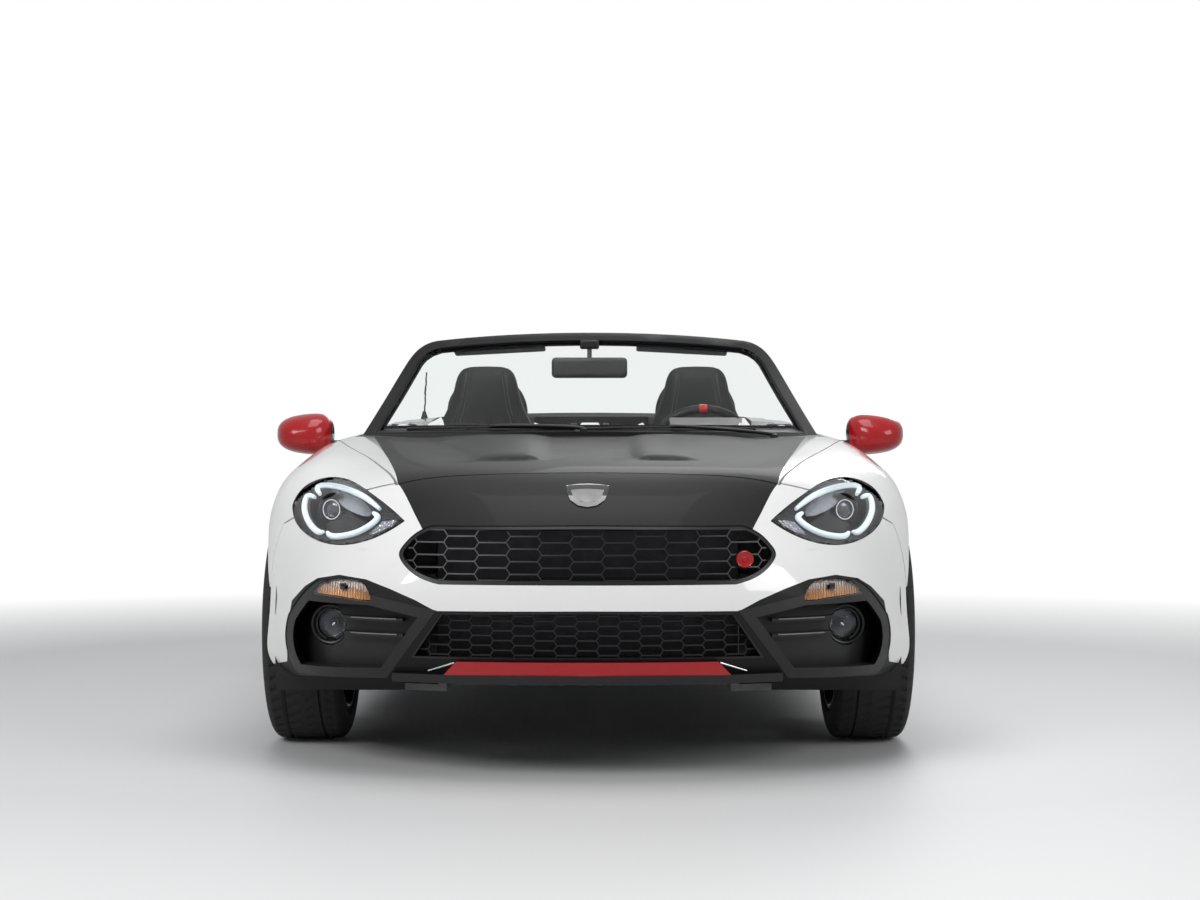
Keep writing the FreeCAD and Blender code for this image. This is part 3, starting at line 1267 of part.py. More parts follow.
front_halves = [front_half, mirror("front_half_twin", front_half)]
piece(fuse("front_axle_set", front_halves + [crossmember]), "front_suspension")

rear_carrier = carrier("rear_carrier", REAR_X, REAR_AXLE)
rear_side = [
    rear_carrier,
    box("rear_link_front", (398, "Sizes.kingpin_offset + 12"),
        (at_axle(REAR_AXLE, -70), at_axle(REAR_AXLE, -30)), (level(-140), level(-116))),
    box("rear_link_back", (398, "Sizes.kingpin_offset + 12"),
        (at_axle(REAR_AXLE, 20), at_axle(REAR_AXLE, 60)), (level(-140), level(-116))),
    box("rear_link_joint", ("Sizes.kingpin_offset - 14", "Sizes.kingpin_offset + 12"),
        (at_axle(REAR_AXLE, -70), at_axle(REAR_AXLE, 60)), (level(-140), level(-110))),
    box("rear_upper_link", (553, "Sizes.kingpin_offset + 10"),
        (at_axle(REAR_AXLE, -18), at_axle(REAR_AXLE, 18)), (level(120), level(142))),
    rod("half_shaft", "15", "x", (92, REAR_AXLE, "Sizes.tyre_radius"), f"{REAR_X} - 140"),
    box("rear_leg", (378, 400), (at_axle(REAR_AXLE, -90), at_axle(REAR_AXLE, 90)),
        (level(-150), "330 - Sizes.seat_gap")),
    damper("rear_damper", "600", at_axle(REAR_AXLE, -52), level(-118), TOWER),
]
rear_half = fuse("rear_half", rear_side)
rear_tie = box("rear_tie", (-399, 399), (at_axle(REAR_AXLE, -132), at_axle(REAR_AXLE, -88)),
               (level(-150), level(-110)))
piece(fuse("rear_axle_set", [rear_half, mirror("rear_half_twin", rear_half), rear_tie]), "rear_suspension")

# Engine, gearbox, propeller shaft and final drive as plain blocks
drive_parts = [
    box("engine", (-150, 150), (-1400, -760), ("190 + Sizes.seat_gap", 600)),
    box("gearbox", (-88, 88), (-761, -250), (196, 296)),
    rod("propshaft", "28", "y", (-40, -251, 250), "1350"),
    box("final_drive", ("-(92 - Sizes.seat_gap)", "92 - Sizes.seat_gap"), (1060, 1230),
        (226, "330 - Sizes.seat_gap")),
]
piece(fuse("drive", drive_parts), "powertrain")


def tube(points, radius, bend):
    """A round pipe along straight runs joined by arcs."""
    edges = []
    start = points[0]
    for before, corner, after in zip(points, points[1:], points[2:]):
        come, leave = (corner - before).normalize(), (after - corner).normalize()
        half_turn = come.getAngle(leave) / 2
        cut_back = bend * math.tan(half_turn)
        first, last = corner - come * cut_back, corner + leave * cut_back
        middle = corner + (leave - come).normalize() * (bend / math.cos(half_turn) - bend)
        edges += [Part.makeLine(start, first), Part.Arc(first, middle, last).toShape()]
        start = last
    edges.append(Part.makeLine(start, points[-1]))
    turns = [2 * math.pi * step / RING_SIDES for step in range(RING_SIDES + 1)]
    ring = [points[0] + Vector(radius * math.cos(a), 0, radius * math.sin(a)) for a in turns]
    return Part.Wire(edges).makePipeShell([Part.makePolygon(ring)], True, False)


PIPE_ROUTE = [(48, -236, 205), (48, 680, 205), (200, 900, 234), (200, 1480, 234), (140, 1650, 252)]
PIPE_BEND = 90
pipe = feature("exhaust_pipe", tube([spot(*place) for place in PIPE_ROUTE], size("pipe_radius"), PIPE_BEND))
muffler = rod("muffler", "76", "x", (-430, 1690, 252), "860")
silencer = box("silencer", (-430, 430), (1650, 1730), (176, "330 - Sizes.seat_gap"))
exhaust_parts = [pipe, muffler, silencer]
TIP_PLACES = (-420, -330, 330, 420)
TIP_LEVEL = 258
for place in TIP_PLACES:
    outside = rod(f"tip_{place}", "Sizes.tip_radius", "y", (place, 1700, TIP_LEVEL), "300")
    bore = rod(f"tip_bore_{place}", "Sizes.tip_radius - 4", "y", (place, 1800, TIP_LEVEL), "260")
    exhaust_parts.append(cut(f"tip_pipe_{place}", outside, bore))
piece(fuse("exhaust_set", exhaust_parts), "exhaust")

# Diffuser under the tail, open round the exhaust tips
DIFFUSER_ROWS = [(372, 2006), (330, 1986), (280, 1964), (235, 1952), (196, 1950)]
DIFFUSER_BOW = [(0, 0), (235, 11), (430, 44), (560, 96)]


def diffuser_grid(step):
    rows = []
    for z, y in DIFFUSER_ROWS:
        half = [(x, y - bow - step) for x, bow in DIFFUSER_BOW]
        line = [(-x, run) for x, run in reversed(half[1:])] + half
        rows.append([spot(x, run, z) for x, run in line])
    return rows


diffuser_slab = feature("diffuser_slab", slab(diffuser_grid(0), diffuser_grid(16)))
diffuser_plate = common("diffuser_plate", diffuser_slab, diffuser_zone)
brackets = []
for x in (-200, 200):
    brackets.append(box(f"bracket_{x}", (x - 12, x + 12), ("1872 + Sizes.seat_gap", 1978), (331, 349)))
tip_rooms = []
for place in TIP_PLACES:
    tip_rooms.append(rod(f"tip_room_{place}", "Sizes.tip_radius + 7", "y", (place, 1700, TIP_LEVEL), "400"))
diffuser_cut = cut("diffuser_cut", fuse("diffuser_whole", [diffuser_plate] + brackets), tip_rooms)
piece(diffuser_cut, "rear_diffuser")

doc.recompute()
for item in doc.Objects:
    if "Invalid" in item.State or "Error" in item.State:
        raise RuntimeError(f"{item.Label} failed: {item.State}")
for item in pieces:
    if item.Shape.isNull() or not item.Shape.isValid() or not item.Shape.Solids:
        raise RuntimeError(f"{item.Label} has no valid solid")

os.makedirs("parts", exist_ok=True)
for item in pieces:
    item.Shape.exportStep(f"parts/{item.Label}.step")
    print(item.Label, len(item.Shape.Solids), round(item.Shape.Volume / 1e6, 3))
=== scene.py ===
"""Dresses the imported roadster: paint, lamps, grilles, wheels, cabin, soft top and a plain studio."""
import json
import math
from math import cos, pi, radians, sin

import bmesh
import bpy
from mathutils import Matrix, Vector
from mathutils.bvhtree import BVHTree
from mathutils.kdtree import KDTree


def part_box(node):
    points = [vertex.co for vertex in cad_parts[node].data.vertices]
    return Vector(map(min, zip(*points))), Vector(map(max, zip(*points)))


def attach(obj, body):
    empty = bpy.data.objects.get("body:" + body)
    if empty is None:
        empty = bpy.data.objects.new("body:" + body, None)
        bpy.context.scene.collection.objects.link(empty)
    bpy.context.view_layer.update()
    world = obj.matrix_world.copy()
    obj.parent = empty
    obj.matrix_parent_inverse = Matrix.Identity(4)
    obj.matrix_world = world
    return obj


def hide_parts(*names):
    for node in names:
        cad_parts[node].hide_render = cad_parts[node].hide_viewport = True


bl_info = {
    "name": "Roadster dressing",
    "version": (1, 0, 0),
    "blender": (4, 5, 0),
    "location": "3D View > Sidebar > Roadster",
    "description": "Adds paint, lamps, trim, wheels and a cabin to the packed roadster",
    "category": "Object",
}

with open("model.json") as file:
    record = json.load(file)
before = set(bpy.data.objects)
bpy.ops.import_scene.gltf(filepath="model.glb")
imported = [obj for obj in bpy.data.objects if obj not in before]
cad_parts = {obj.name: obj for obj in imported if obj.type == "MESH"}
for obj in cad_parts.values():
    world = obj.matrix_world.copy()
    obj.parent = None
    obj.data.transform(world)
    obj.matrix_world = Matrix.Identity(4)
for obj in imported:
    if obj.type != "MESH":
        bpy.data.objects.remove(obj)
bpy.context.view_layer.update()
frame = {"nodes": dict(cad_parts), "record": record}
NODES = frame["nodes"]
BODY_OF = {node: body for body, nodes in frame["record"]["behaviour"]["bodies"].items() for node in nodes}
MERGE = 0.00002
POINT_GAP = 0.00001
CORNERS = ("front_left", "front_right", "rear_left", "rear_right")
CAR = "car_body"
SIDES = (-1, 1)
WAYS = {"left": 1, "right": -1}
UP = (0, 0, 1)


class RoadsterSizes(bpy.types.PropertyGroup):
    """Sizes and colours that a user would change."""

    body_colour: bpy.props.FloatVectorProperty(
        name="Body paint", description="Colour of the outer panels", subtype="COLOR", size=3,
        default=(0.80, 0.80, 0.785))
    panel_colour: bpy.props.FloatVectorProperty(
        name="Matte paint", description="Colour of the bonnet, screen frame and boot lid",
        subtype="COLOR", size=3, default=(0.006, 0.006, 0.0065))
    accent_colour: bpy.props.FloatVectorProperty(
        name="Accent", description="Colour of mirrors, lip strip and tow cap", subtype="COLOR", size=3,
        default=(0.36, 0.004, 0.007))
    hide_colour: bpy.props.FloatVectorProperty(
        name="Leather", description="Colour of the seat leather", subtype="COLOR", size=3,
        default=(0.009, 0.009, 0.0095))
    thread_colour: bpy.props.FloatVectorProperty(
        name="Thread", description="Colour of the seat stitching", subtype="COLOR", size=3,
        default=(0.3, 0.3, 0.3))
    lens_wall: bpy.props.FloatProperty(
        name="Lens wall", description="Thickness of the lamp covers", unit="LENGTH", default=0.003)
    tread_depth: bpy.props.FloatProperty(
        name="Tread depth", description="Depth of the tyre grooves", unit="LENGTH", default=0.007)


def mm(*rows):
    """Rows of metres from rows of millimetres."""
    return [tuple(round(value / 1000, 7) for value in row) for row in rows]


# Shader kit

finishes = {}


def sums(operation):
    """A method of Field: one maths node, fed with the field and with another value if there is one."""
    return lambda self, *others: self.maths(operation, self, *others)


class Field:
    """A shader socket that does arithmetic."""

    __add__ = __radd__ = sums("ADD")
    __sub__ = sums("SUBTRACT")
    __mul__ = __rmul__ = sums("MULTIPLY")
    __truediv__ = sums("DIVIDE")
    __lt__ = sums("LESS_THAN")
    __gt__ = sums("GREATER_THAN")
    size = sums("ABSOLUTE")
    sine = sums("SINE")
    root = sums("SQRT")

    def __init__(self, tree, socket):
        self.tree = tree
        self.socket = socket

    def node(self, kind, settings=(), inputs=(), output=0):
        """Adds one node, sets it up, feeds it and returns one of its outputs."""
        item = self.tree.nodes.new(kind)
        for key, value in dict(settings).items():
            setattr(item, key, value)
        for key, value in dict(inputs).items():
            if isinstance(value, Field):
                self.tree.links.new(value.socket, item.inputs[key])
            else:
                item.inputs[key].default_value = value
        return Field(self.tree, item.outputs[output])

    def maths(self, operation, *values):
        """One maths node."""
        return self.node("ShaderNodeMath", {"operation": operation}, dict(enumerate(values)))

    def __rsub__(self, other):
        return self.maths("SUBTRACT", other, self)

    def within(self, low, high):
        """Maps low..high to 0..1 and stops there."""
        return self.node("ShaderNodeMapRange", {}, {"Value": self, "From Min": low, "From Max": high})

    def curve(self, stops):
        """A value read off straight runs between stops of place and value, both from 0 to 1."""
        item = self.tree.nodes.new("ShaderNodeValToRGB")
        ramp = item.color_ramp
        while len(ramp.elements) < len(stops):
            ramp.elements.new(0.5)
        for element, (place, value) in zip(ramp.elements, stops):
            element.position = place
            element.color = (value, value, value, 1)
        self.tree.links.new(self.socket, item.inputs[0])
        return Field(self.tree, item.outputs[0])


class Finish:
    """One material with a Principled shader and Object coordinates to hand."""

    def __init__(self, name, colour, roughness, metallic=0.0, **sockets):
        finishes[name] = self
        self.material = bpy.data.materials.new(name)
        self.material.use_nodes = True
        self.tree = self.material.node_tree
        self.shader = next(item for item in self.tree.nodes if item.type == "BSDF_PRINCIPLED")
        self.set("Base Color", colour)
        self.set("Roughness", roughness)
        self.set("Metallic", metallic)
        for key, value in sockets.items():
            self.set(key.replace("_", " "), value)
        source = self.tree.nodes.new("ShaderNodeTexCoord")
        self.place = Field(self.tree, source.outputs["Object"])
        split = self.tree.nodes.new("ShaderNodeSeparateXYZ")
        self.tree.links.new(source.outputs["Object"], split.inputs[0])
        self.x, self.y, self.z = (Field(self.tree, item) for item in split.outputs)

    def set(self, socket, value):
        """Feeds a socket of the shader, or sets it."""
        if isinstance(value, Field):
            self.tree.links.new(value.socket, self.shader.inputs[socket])
        else:
            if hasattr(value, "__len__") and len(value) == 3:
                value = (*value, 1)
            self.shader.inputs[socket].default_value = value

    def noise(self, scale, detail=2.0, roughness=0.5):
        """Random clouds."""
        settings = {"Vector": self.place, "Scale": scale, "Detail": detail, "Roughness": roughness}
        return self.place.node("ShaderNodeTexNoise", {}, settings)

    def cells(self, scale):
        """Distance to the middle of the nearest of many random cells."""
        return self.place.node("ShaderNodeTexVoronoi", {}, {"Vector": self.place, "Scale": scale})

    def blend(self, share, one, two):
        """A colour between two colours."""
        inputs = {0: share}
        for index, colour in ((6, one), (7, two)):
            inputs[index] = colour if isinstance(colour, Field) else (*colour[:3], 1)
        return self.place.node("ShaderNodeMix", {"data_type": "RGBA"}, inputs, 2)

    def relief(self, height, strength, distance):
        """Bumps as high as a distance where the height is 1."""
        settings = {"Strength": strength, "Distance": distance, "Height": height}
        self.set("Normal", self.place.node("ShaderNodeBump", {}, settings))
        return self

    def grain(self, scale, detail, strength, distance):
        """Fine random bumps."""
        return self.relief(self.noise(scale, detail), strength, distance)

    def vary(self, scale, low, high):
        """Roughness that drifts over the surface."""
        self.set("Roughness", self.noise(scale) * (high - low) + low)
        return self


def painted(name, colour, roughness, **sockets):
    """Sprayed paint with a slight orange peel."""
    return Finish(name, colour, roughness, **sockets).grain(420, 1, 0.04, 0.0004)


NOSE_SPLIT = mm((-1960, 372), (-1900, 388), (-1700, 472), (-1220, 548), (-620, 642), (-500, 660))
NOSE_LEVEL = 0.56
MIRROR_ARM_END = 0.792
AMBER_FADE = (0.435, 0.465)


def black_centre(item):
    """1 on the matte centre of bonnet and nose, 0 on the white sides."""
    first, last = NOSE_SPLIT[0][0], NOSE_SPLIT[-1][0]
    stops = [((y - first) / (last - first), width) for y, width in NOSE_SPLIT]
    half = item.y.within(first, last).curve(stops)
    return (item.x.size() < half) * (item.z > NOSE_LEVEL)


LOW_BLACK = mm((0, 405), (358, 403), (408, 428), (469, 452), (531, 472), (603, 479), (665, 467),
               (702.5, 444.5), (743, 404), (757, 250), (900, 200))
NOSE_END = -1.45


def black_foot(item):
    """1 on the dark part of the nose, below the white band and round the corner intakes."""
    reach = LOW_BLACK[-1][0]
    level = (item.x.size() / reach).curve([(x / reach, z) for x, z in LOW_BLACK])
    return (item.z < level) * (item.y < NOSE_END)


def moulded(name, colour, roughness=0.5, grain=900, depth=0.25):
    """Moulded plastic with a fine grain."""
    item = Finish(name, colour, roughness, Specular_IOR_Level=0.35).vary(
        14, roughness - 0.06, roughness + 0.06)
    item.relief(item.cells(grain), depth * 0.6, 0.0004)


def crossed(item, pitch):
    """Fine ribs both ways across a lamp's face."""
    return (item.x * pitch).sine() * (item.z * pitch).sine()


def make_finishes(sizes):
    """Every finish on the car."""
    white = painted("pearl_white", sizes.body_colour, 0.28, Coat_Weight=1.0, Coat_Roughness=0.03)
    fleck = white.noise(1500, 2) > 0.62
    white.set("Base Color", white.blend(fleck * 0.12, sizes.body_colour, (0.95, 0.94, 0.9)))
    split = painted("split_paint", sizes.body_colour, 0.28, Coat_Roughness=0.05, Specular_IOR_Level=0.2)
    centre = black_centre(split)
    mask = centre.maths("MAXIMUM", centre, black_foot(split))
    split.set("Base Color", split.blend(mask, sizes.body_colour, sizes.panel_colour))
    split.set("Roughness", mask * 0.27 + 0.28)
    split.set("Coat Weight", 1 - mask * 0.96)
    painted("matte_black", sizes.panel_colour, 0.55, Coat_Weight=0.02, Coat_Roughness=0.3,
            Specular_IOR_Level=0.2).vary(6, 0.51, 0.59)
    red = {"roughness": 0.25, "Coat_Weight": 0.5, "Coat_Roughness": 0.03, "Specular_IOR_Level": 0.25}
    painted("accent_red", sizes.accent_colour, **red)
    mirror = painted("mirror_paint", sizes.accent_colour, **red)
    arm = mirror.x.size() < MIRROR_ARM_END
    mirror.set("Base Color", mirror.blend(arm, sizes.accent_colour, (0.01, 0.01, 0.011)))
    moulded("black_grain", (0.013, 0.013, 0.014))
    moulded("black_satin", (0.009, 0.009, 0.01), 0.36, 1600, 0.08)
    moulded("soft_dash", (0.014, 0.014, 0.015), 0.55, 520, 0.35)
    rubber = Finish("tyre_rubber", (0.014, 0.014, 0.0145), 0.8).grain(700, 2, 0.2, 0.0005)
    rubber.set("Base Color", rubber.blend(
        rubber.noise(9, 4) * 0.3, (0.011, 0.011, 0.0115), (0.03, 0.029, 0.027)))
    Finish("dark_alloy", (0.05, 0.051, 0.055), 0.33, 0.85, Coat_Weight=0.5, Coat_Roughness=0.1).vary(
        25, 0.28, 0.38)
    for name, colour, rough in (("bright_metal", (0.62, 0.62, 0.63), 0.22),
                                ("chrome", (0.85, 0.86, 0.88), 0.05),
                                ("cast_metal", (0.22, 0.22, 0.22), 0.55),
                                ("dark_steel", (0.06, 0.06, 0.065), 0.5)):
        metal = Finish(name, colour, rough, 1.0).vary(40, rough * 0.8, rough * 1.25)
        if rough > 0.4:
            metal.grain(260, 3, 0.25, 0.0006)
    Finish("brake_iron", (0.34, 0.34, 0.35), 0.3, 1.0).grain(900, 2, 0.2, 0.0004).vary(30, 0.24, 0.4)
    Finish("gloss_black", (0.006, 0.006, 0.007), 0.08, Coat_Weight=0.6, Coat_Roughness=0.02)
    Finish("lamp_black", (0.005, 0.005, 0.0055), 0.25, Specular_IOR_Level=0.35)
    Finish("dark_glass", (0.01, 0.012, 0.018), 0.03, Coat_Weight=1.0, Coat_Roughness=0.0)
    Finish("window_glass", (0.86, 0.89, 0.88), 0.0, IOR=1.1, Transmission_Weight=1.0)
    Finish("lamp_glass", (0.97, 0.98, 1.0), 0.0, IOR=1.22, Transmission_Weight=1.0)
    Finish("red_lens", (0.5, 0.006, 0.008), 0.08, IOR=1.3, Transmission_Weight=0.75)
    Finish("lamp_glow", (0.4, 0.45, 0.48), 0.5, Emission_Color=(0.72, 0.84, 0.9), Emission_Strength=0.34)
    Finish("red_glow", (0.6, 0.01, 0.012), 0.3, Emission_Color=(0.9, 0.02, 0.02), Emission_Strength=0.6)
    ribs = Finish("ribbed_chrome", (0.3, 0.31, 0.33), 0.24, 1.0)
    ribs.relief(crossed(ribs, 1500), 0.7, 0.002)
    for name, colour in (("amber_lens", (0.75, 0.16, 0.01)), ("red_solid", (0.42, 0.006, 0.008))):
        lens = Finish(name, colour, 0.2, Coat_Weight=0.3, Coat_Roughness=0.05)
        lens.relief(crossed(lens, 1100), 0.35, 0.001)
    facets = Finish("faceted_chrome", (0.3, 0.3, 0.32), 0.2, 1.0)
    facets.relief(facets.cells(130), 0.9, 0.004)
    amber = Finish("amber_ribs", (0.55, 0.34, 0.16), 0.3, 0.6)
    amber.relief((amber.x * 900).sine(), 0.8, 0.002)
    amber.set("Base Color", amber.blend(amber.z.within(*AMBER_FADE), (0.3, 0.12, 0.03), (0.34, 0.32, 0.3)))
    cloth = Finish("roof_cloth", (0.011, 0.011, 0.012), 0.85)
    cloth.relief((cloth.x * 3600).sine() * (cloth.y * 3600).sine(), 0.35, 0.0005)
    cloth.set("Base Color", cloth.blend(cloth.noise(60, 3), (0.009, 0.009, 0.01), (0.018, 0.018, 0.019)))
    hide = Finish("leather", sizes.hide_colour, 0.5, Specular_IOR_Level=0.25)
    hide.grain(420, 3, 0.12, 0.0005).vary(18, 0.46, 0.58)
    Finish("carpet", (0.012, 0.012, 0.012), 0.95).grain(1400, 3, 0.8, 0.002)
    Finish("plate_paint", (0.72, 0.72, 0.71), 0.35, Coat_Weight=0.4).grain(300, 2, 0.05, 0.0004)
    thread = Finish("thread", sizes.thread_colour, 0.7)
    thread.relief((thread.x * 5000 + thread.y * 5000 + thread.z * 5000).sine(), 0.5, 0.0004)
    mesh = Finish("speaker_mesh", (0.02, 0.02, 0.021), 0.45)
    mesh.relief(mesh.cells(320), 1.0, 0.002)


# Modelling kit

def only(piece):
    """Makes one object the selected and active one."""
    bpy.ops.object.select_all(action="DESELECT")
    piece.select_set(True)
    bpy.context.view_layer.objects.active = piece
    return piece


def dressed(piece, name, paint, body=CAR, nodes=()):
    """Names a finished piece, joined from a list if it is one, paints it and lets it ride."""
    if isinstance(piece, list):
        piece = joined(piece)
    piece.name = name
    piece.data.materials.clear()
    piece.data.materials.append(finishes[paint].material)
    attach(piece, body)
    if nodes:
        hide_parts(*nodes)
    return piece


def placed(data, name):
    """A new object in the scene."""
    piece = bpy.data.objects.new(name, data)
    bpy.context.scene.collection.objects.link(piece)
    return piece


def from_mesh(mesh, name):
    """An object made of a bmesh, with its faces turned outwards."""
    bmesh.ops.recalc_face_normals(mesh, faces=mesh.faces)
    data = bpy.data.meshes.new(name)
    mesh.to_mesh(data)
    mesh.free()
    return only(placed(data, name))


def hooped(mesh, ring, after, shift=0):
    """Faces between two rings with as many points."""
    count = len(ring)
    for index in range(count):
        other = (index + 1) % count
        mesh.faces.new((ring[index], ring[other], after[(other + shift) % count],
                        after[(index + shift) % count]))


def merged(node, name):
    """A merged copy of a CAD node's mesh."""
    piece = only(placed(NODES[node].data.copy(), name))
    bpy.ops.object.mode_set(mode="EDIT")
    bpy.ops.mesh.select_all(action="SELECT")
    bpy.ops.mesh.remove_doubles(threshold=MERGE)
    bpy.ops.mesh.customdata_custom_splitnormals_clear()
    bpy.ops.object.mode_set(mode="OBJECT")
    return piece


def softened(piece, angle=32):
    """Smooth shading, with edges sharper than an angle kept."""
    only(piece)
    bpy.ops.object.shade_smooth_by_angle(angle=radians(angle))
    return piece


def smoothed(node, paint, name=None, angle=32):
    """A CAD node's copy with smooth shading in its place."""
    piece = softened(merged(node, name or f"{node}_skin"), angle)
    return dressed(piece, piece.name, paint, body=BODY_OF[node], nodes=[node])


def applied(piece, kind, **settings):
    """Adds one modifier to a piece and applies it."""
    only(piece)
    modifier = piece.modifiers.new(kind.lower(), kind)
    for key, value in settings.items():
        setattr(modifier, key, value)
    bpy.ops.object.modifier_apply(modifier=modifier.name)
    return piece


def carved(piece, tool, operation="DIFFERENCE"):
    """A piece less, with or within a tool, which is used up."""
    applied(piece, "BOOLEAN", operation=operation, object=tool, solver="EXACT")
    bpy.data.objects.remove(tool)
    return piece


def bevelled(piece, width, segments=2, angle=40, **settings):
    """A piece with its sharp edges rounded."""
    return softened(applied(piece, "BEVEL", width=width, segments=segments, limit_method="ANGLE",
                            **settings), angle)


def settled(piece, angle=40):
    """Moves a piece's place into its mesh and shades it."""
    only(piece)
    bpy.ops.object.transform_apply(location=True, rotation=True, scale=True)
    return softened(piece, angle)


def joined(pieces):
    """Several pieces as one mesh."""
    bpy.ops.object.select_all(action="DESELECT")
    for piece in pieces:
        piece.select_set(True)
    bpy.context.view_layer.objects.active = pieces[0]
    if len(pieces) > 1:
        bpy.ops.object.join()
    return bpy.context.active_object


def twin(piece):
    """The mirror image across the car, as a mesh of its own."""
    copy = placed(piece.data.copy(), f"{piece.name}_twin")
    copy.data.transform(Matrix.Scale(-1, 4, (1, 0, 0)))
    copy.data.flip_normals()
    return copy


def pair(piece):
    """A piece and its mirror image, joined."""
    return joined([piece, twin(piece)])


def block(size, place, bevel=0.004, turn=(0, 0, 0), segments=3):
    """A rounded block."""
    bpy.ops.object.select_all(action="DESELECT")
    bpy.ops.mesh.primitive_cube_add(size=1, location=place, rotation=turn, scale=size)
    piece = settled(bpy.context.active_object)
    return bevelled(piece, bevel, segments, 45)


def tilted(x, y=0):
    """A turn in degrees about the first two axes."""
    return radians(x), radians(y), 0


def spun(outline, place, axis=(0, -1, 0), steps=40):
    """A closed outline of distance along an axis and radius, turned about that axis."""
    mesh = bmesh.new()
    rings = []
    for step in range(steps):
        turn = 2 * pi * step / steps
        rings.append([mesh.verts.new((r * cos(turn), r * sin(turn), a)) for a, r in outline])
    for ring, after in zip(rings, rings[1:] + rings[:1]):
        hooped(mesh, ring, after)
    bmesh.ops.remove_doubles(mesh, verts=mesh.verts, dist=POINT_GAP)
    bmesh.ops.dissolve_degenerate(mesh, dist=POINT_GAP, edges=mesh.edges)
    piece = from_mesh(mesh, "spun")
    turn = Vector((0, 0, 1)).rotation_difference(Vector(axis)).to_matrix().to_4x4()
    piece.data.transform(Matrix.Translation(Vector(place)) @ turn)
    return softened(piece, 35)


def wire(points, radius, closed=False, sides=8, taper=False):
    """A round strand through points."""
    data = bpy.data.curves.new("wire", "CURVE")
    data.dimensions = "3D"
    data.bevel_depth = radius
    data.bevel_resolution = max(0, sides // 2 - 2)
    data.use_fill_caps = True
    data.resolution_u = 4
    line = data.splines.new("NURBS")
    line.points.add(len(points) - 1)
    for index, point in enumerate(points):
        line.points[index].co = (*point, 1)
        if taper and index in (0, len(points) - 1):
            line.points[index].radius = 0.6
    line.order_u = 3
    line.use_endpoint_u = not closed
    line.use_cyclic_u = closed
    only(placed(data, "wire"))
    bpy.ops.object.convert(target="MESH")
    return softened(bpy.context.active_object, 60)


def ahead(degrees):
    """A way straight ahead, turned outwards on the left."""
    turn = radians(degrees)
    return Vector((sin(turn), -cos(turn), 0))


# Places on the car's skin

VIEWS = {
    "front": (0, 2, Vector((0, 1, 0))), "rear": (0, 2, Vector((0, -1, 0))),
    "top": (0, 1, Vector((0, 0, -1))),
    "left": (1, 2, Vector((-1, 0, 0))), "right": (1, 2, Vector((1, 0, 0))),
}


def skin_of(*nodes):
    """The surfaces of some nodes, for rays."""
    points, faces = [], []
    for node in nodes:
        mesh = NODES[node].data
        base = len(points)
        points += [vertex.co.copy() for vertex in mesh.vertices]
        faces += [[base + index for index in face.vertices] for face in mesh.polygons]
    return BVHTree.FromPolygons(points, faces)


def skin_of_piece(piece):
    """The surface of one piece, for rays."""
    return BVHTree.FromPolygons([v.co for v in piece.data.vertices],
                                [list(f.vertices) for f in piece.data.polygons])


def on_skin(skin, a, b, view="front", depth=0.0):
    """The skin's point at two coordinates, seen from one side, moved in by a depth."""
    first, second, way = VIEWS[view]
    start = -3 * way
    start[first], start[second] = a, b
    hit = skin.ray_cast(start, way)[0]
    return None if hit is None else hit + way * depth


def traced(skin, path, view, depth=0.0):
    """The points of a path on a skin."""
    line = [on_skin(skin, a, b, view, depth) for a, b in path]
    return [spot for spot in line if spot]


def inset(outline, gap):
    """A closed outline moved inwards by a gap."""
    count = len(outline)
    area = sum(outline[i - 1][0] * outline[i][1] - outline[i][0] * outline[i - 1][1] for i in range(count))
    side = -gap if area > 0 else gap
    moved = []
    for index in range(count):
        here = Vector(outline[index])
        run = [(here - Vector(outline[index - 1])).normalized(),
               (Vector(outline[(index + 1) % count]) - here).normalized()]
        one, two = (Vector((step.y, -step.x)) for step in run)
        moved.append(tuple(here + (one + two) * side / max(0.3, 1 + one.dot(two))))
    return moved


def rounded(outline, times=2):
    """A closed outline with its corners cut round."""
    for _ in range(times):
        count = len(outline)
        cut = []
        for index in range(count):
            (a, b), (c, d) = outline[index], outline[(index + 1) % count]
            cut += [(a * 0.75 + c * 0.25, b * 0.75 + d * 0.25), (a * 0.25 + c * 0.75, b * 0.25 + d * 0.75)]
        outline = cut
    return outline


def dense(outline, step):
    """A closed outline with points no further apart than a step."""
    spots = []
    for index, (a, b) in enumerate(outline):
        c, d = outline[(index + 1) % len(outline)]
        parts = max(1, math.ceil(math.hypot(c - a, d - b) / step))
        spots += [(a + (c - a) * part / parts, b + (d - b) * part / parts) for part in range(parts)]
    return spots


def edging(outline, skin, depth, wall, width, view="front", step=0.01):
    """A band along an outline, laid straight on a skin."""
    way = VIEWS[view][2]
    rows = []
    for a, b in zip(dense(outline, step), dense_inset(outline, width, step)):
        outer, inner = on_skin(skin, *a, view, depth), on_skin(skin, *b, view, depth)
        if outer and inner:
            rows.append((outer, inner, inner + way * wall, outer + way * wall))
    mesh = bmesh.new()
    rings = [[mesh.verts.new(spot) for spot in row] for row in rows]
    for ring, after in zip(rings, rings[1:] + rings[:1]):
        hooped(mesh, ring, after)
    return softened(from_mesh(mesh, "edging"), 35)


def dense_inset(outline, gap, step):
    """The points of a dense outline, each moved inwards."""
    return inset(dense(outline, step), gap)


def bar(outline, view="front", low=-3.0, high=3.0):
    """A straight bar of an outline's section, through the car."""
    first, second, way = VIEWS[view]
    third = 3 - first - second
    mesh = bmesh.new()
    ends = []
    for place in (low, high):
        ring = []
        for a, b in outline:
            spot = Vector()
            spot[first], spot[second], spot[third] = a, b, place
            ring.append(mesh.verts.new(spot))
        ends.append(ring)
        mesh.faces.new(ring)
    hooped(mesh, *ends)
    return from_mesh(mesh, "bar")


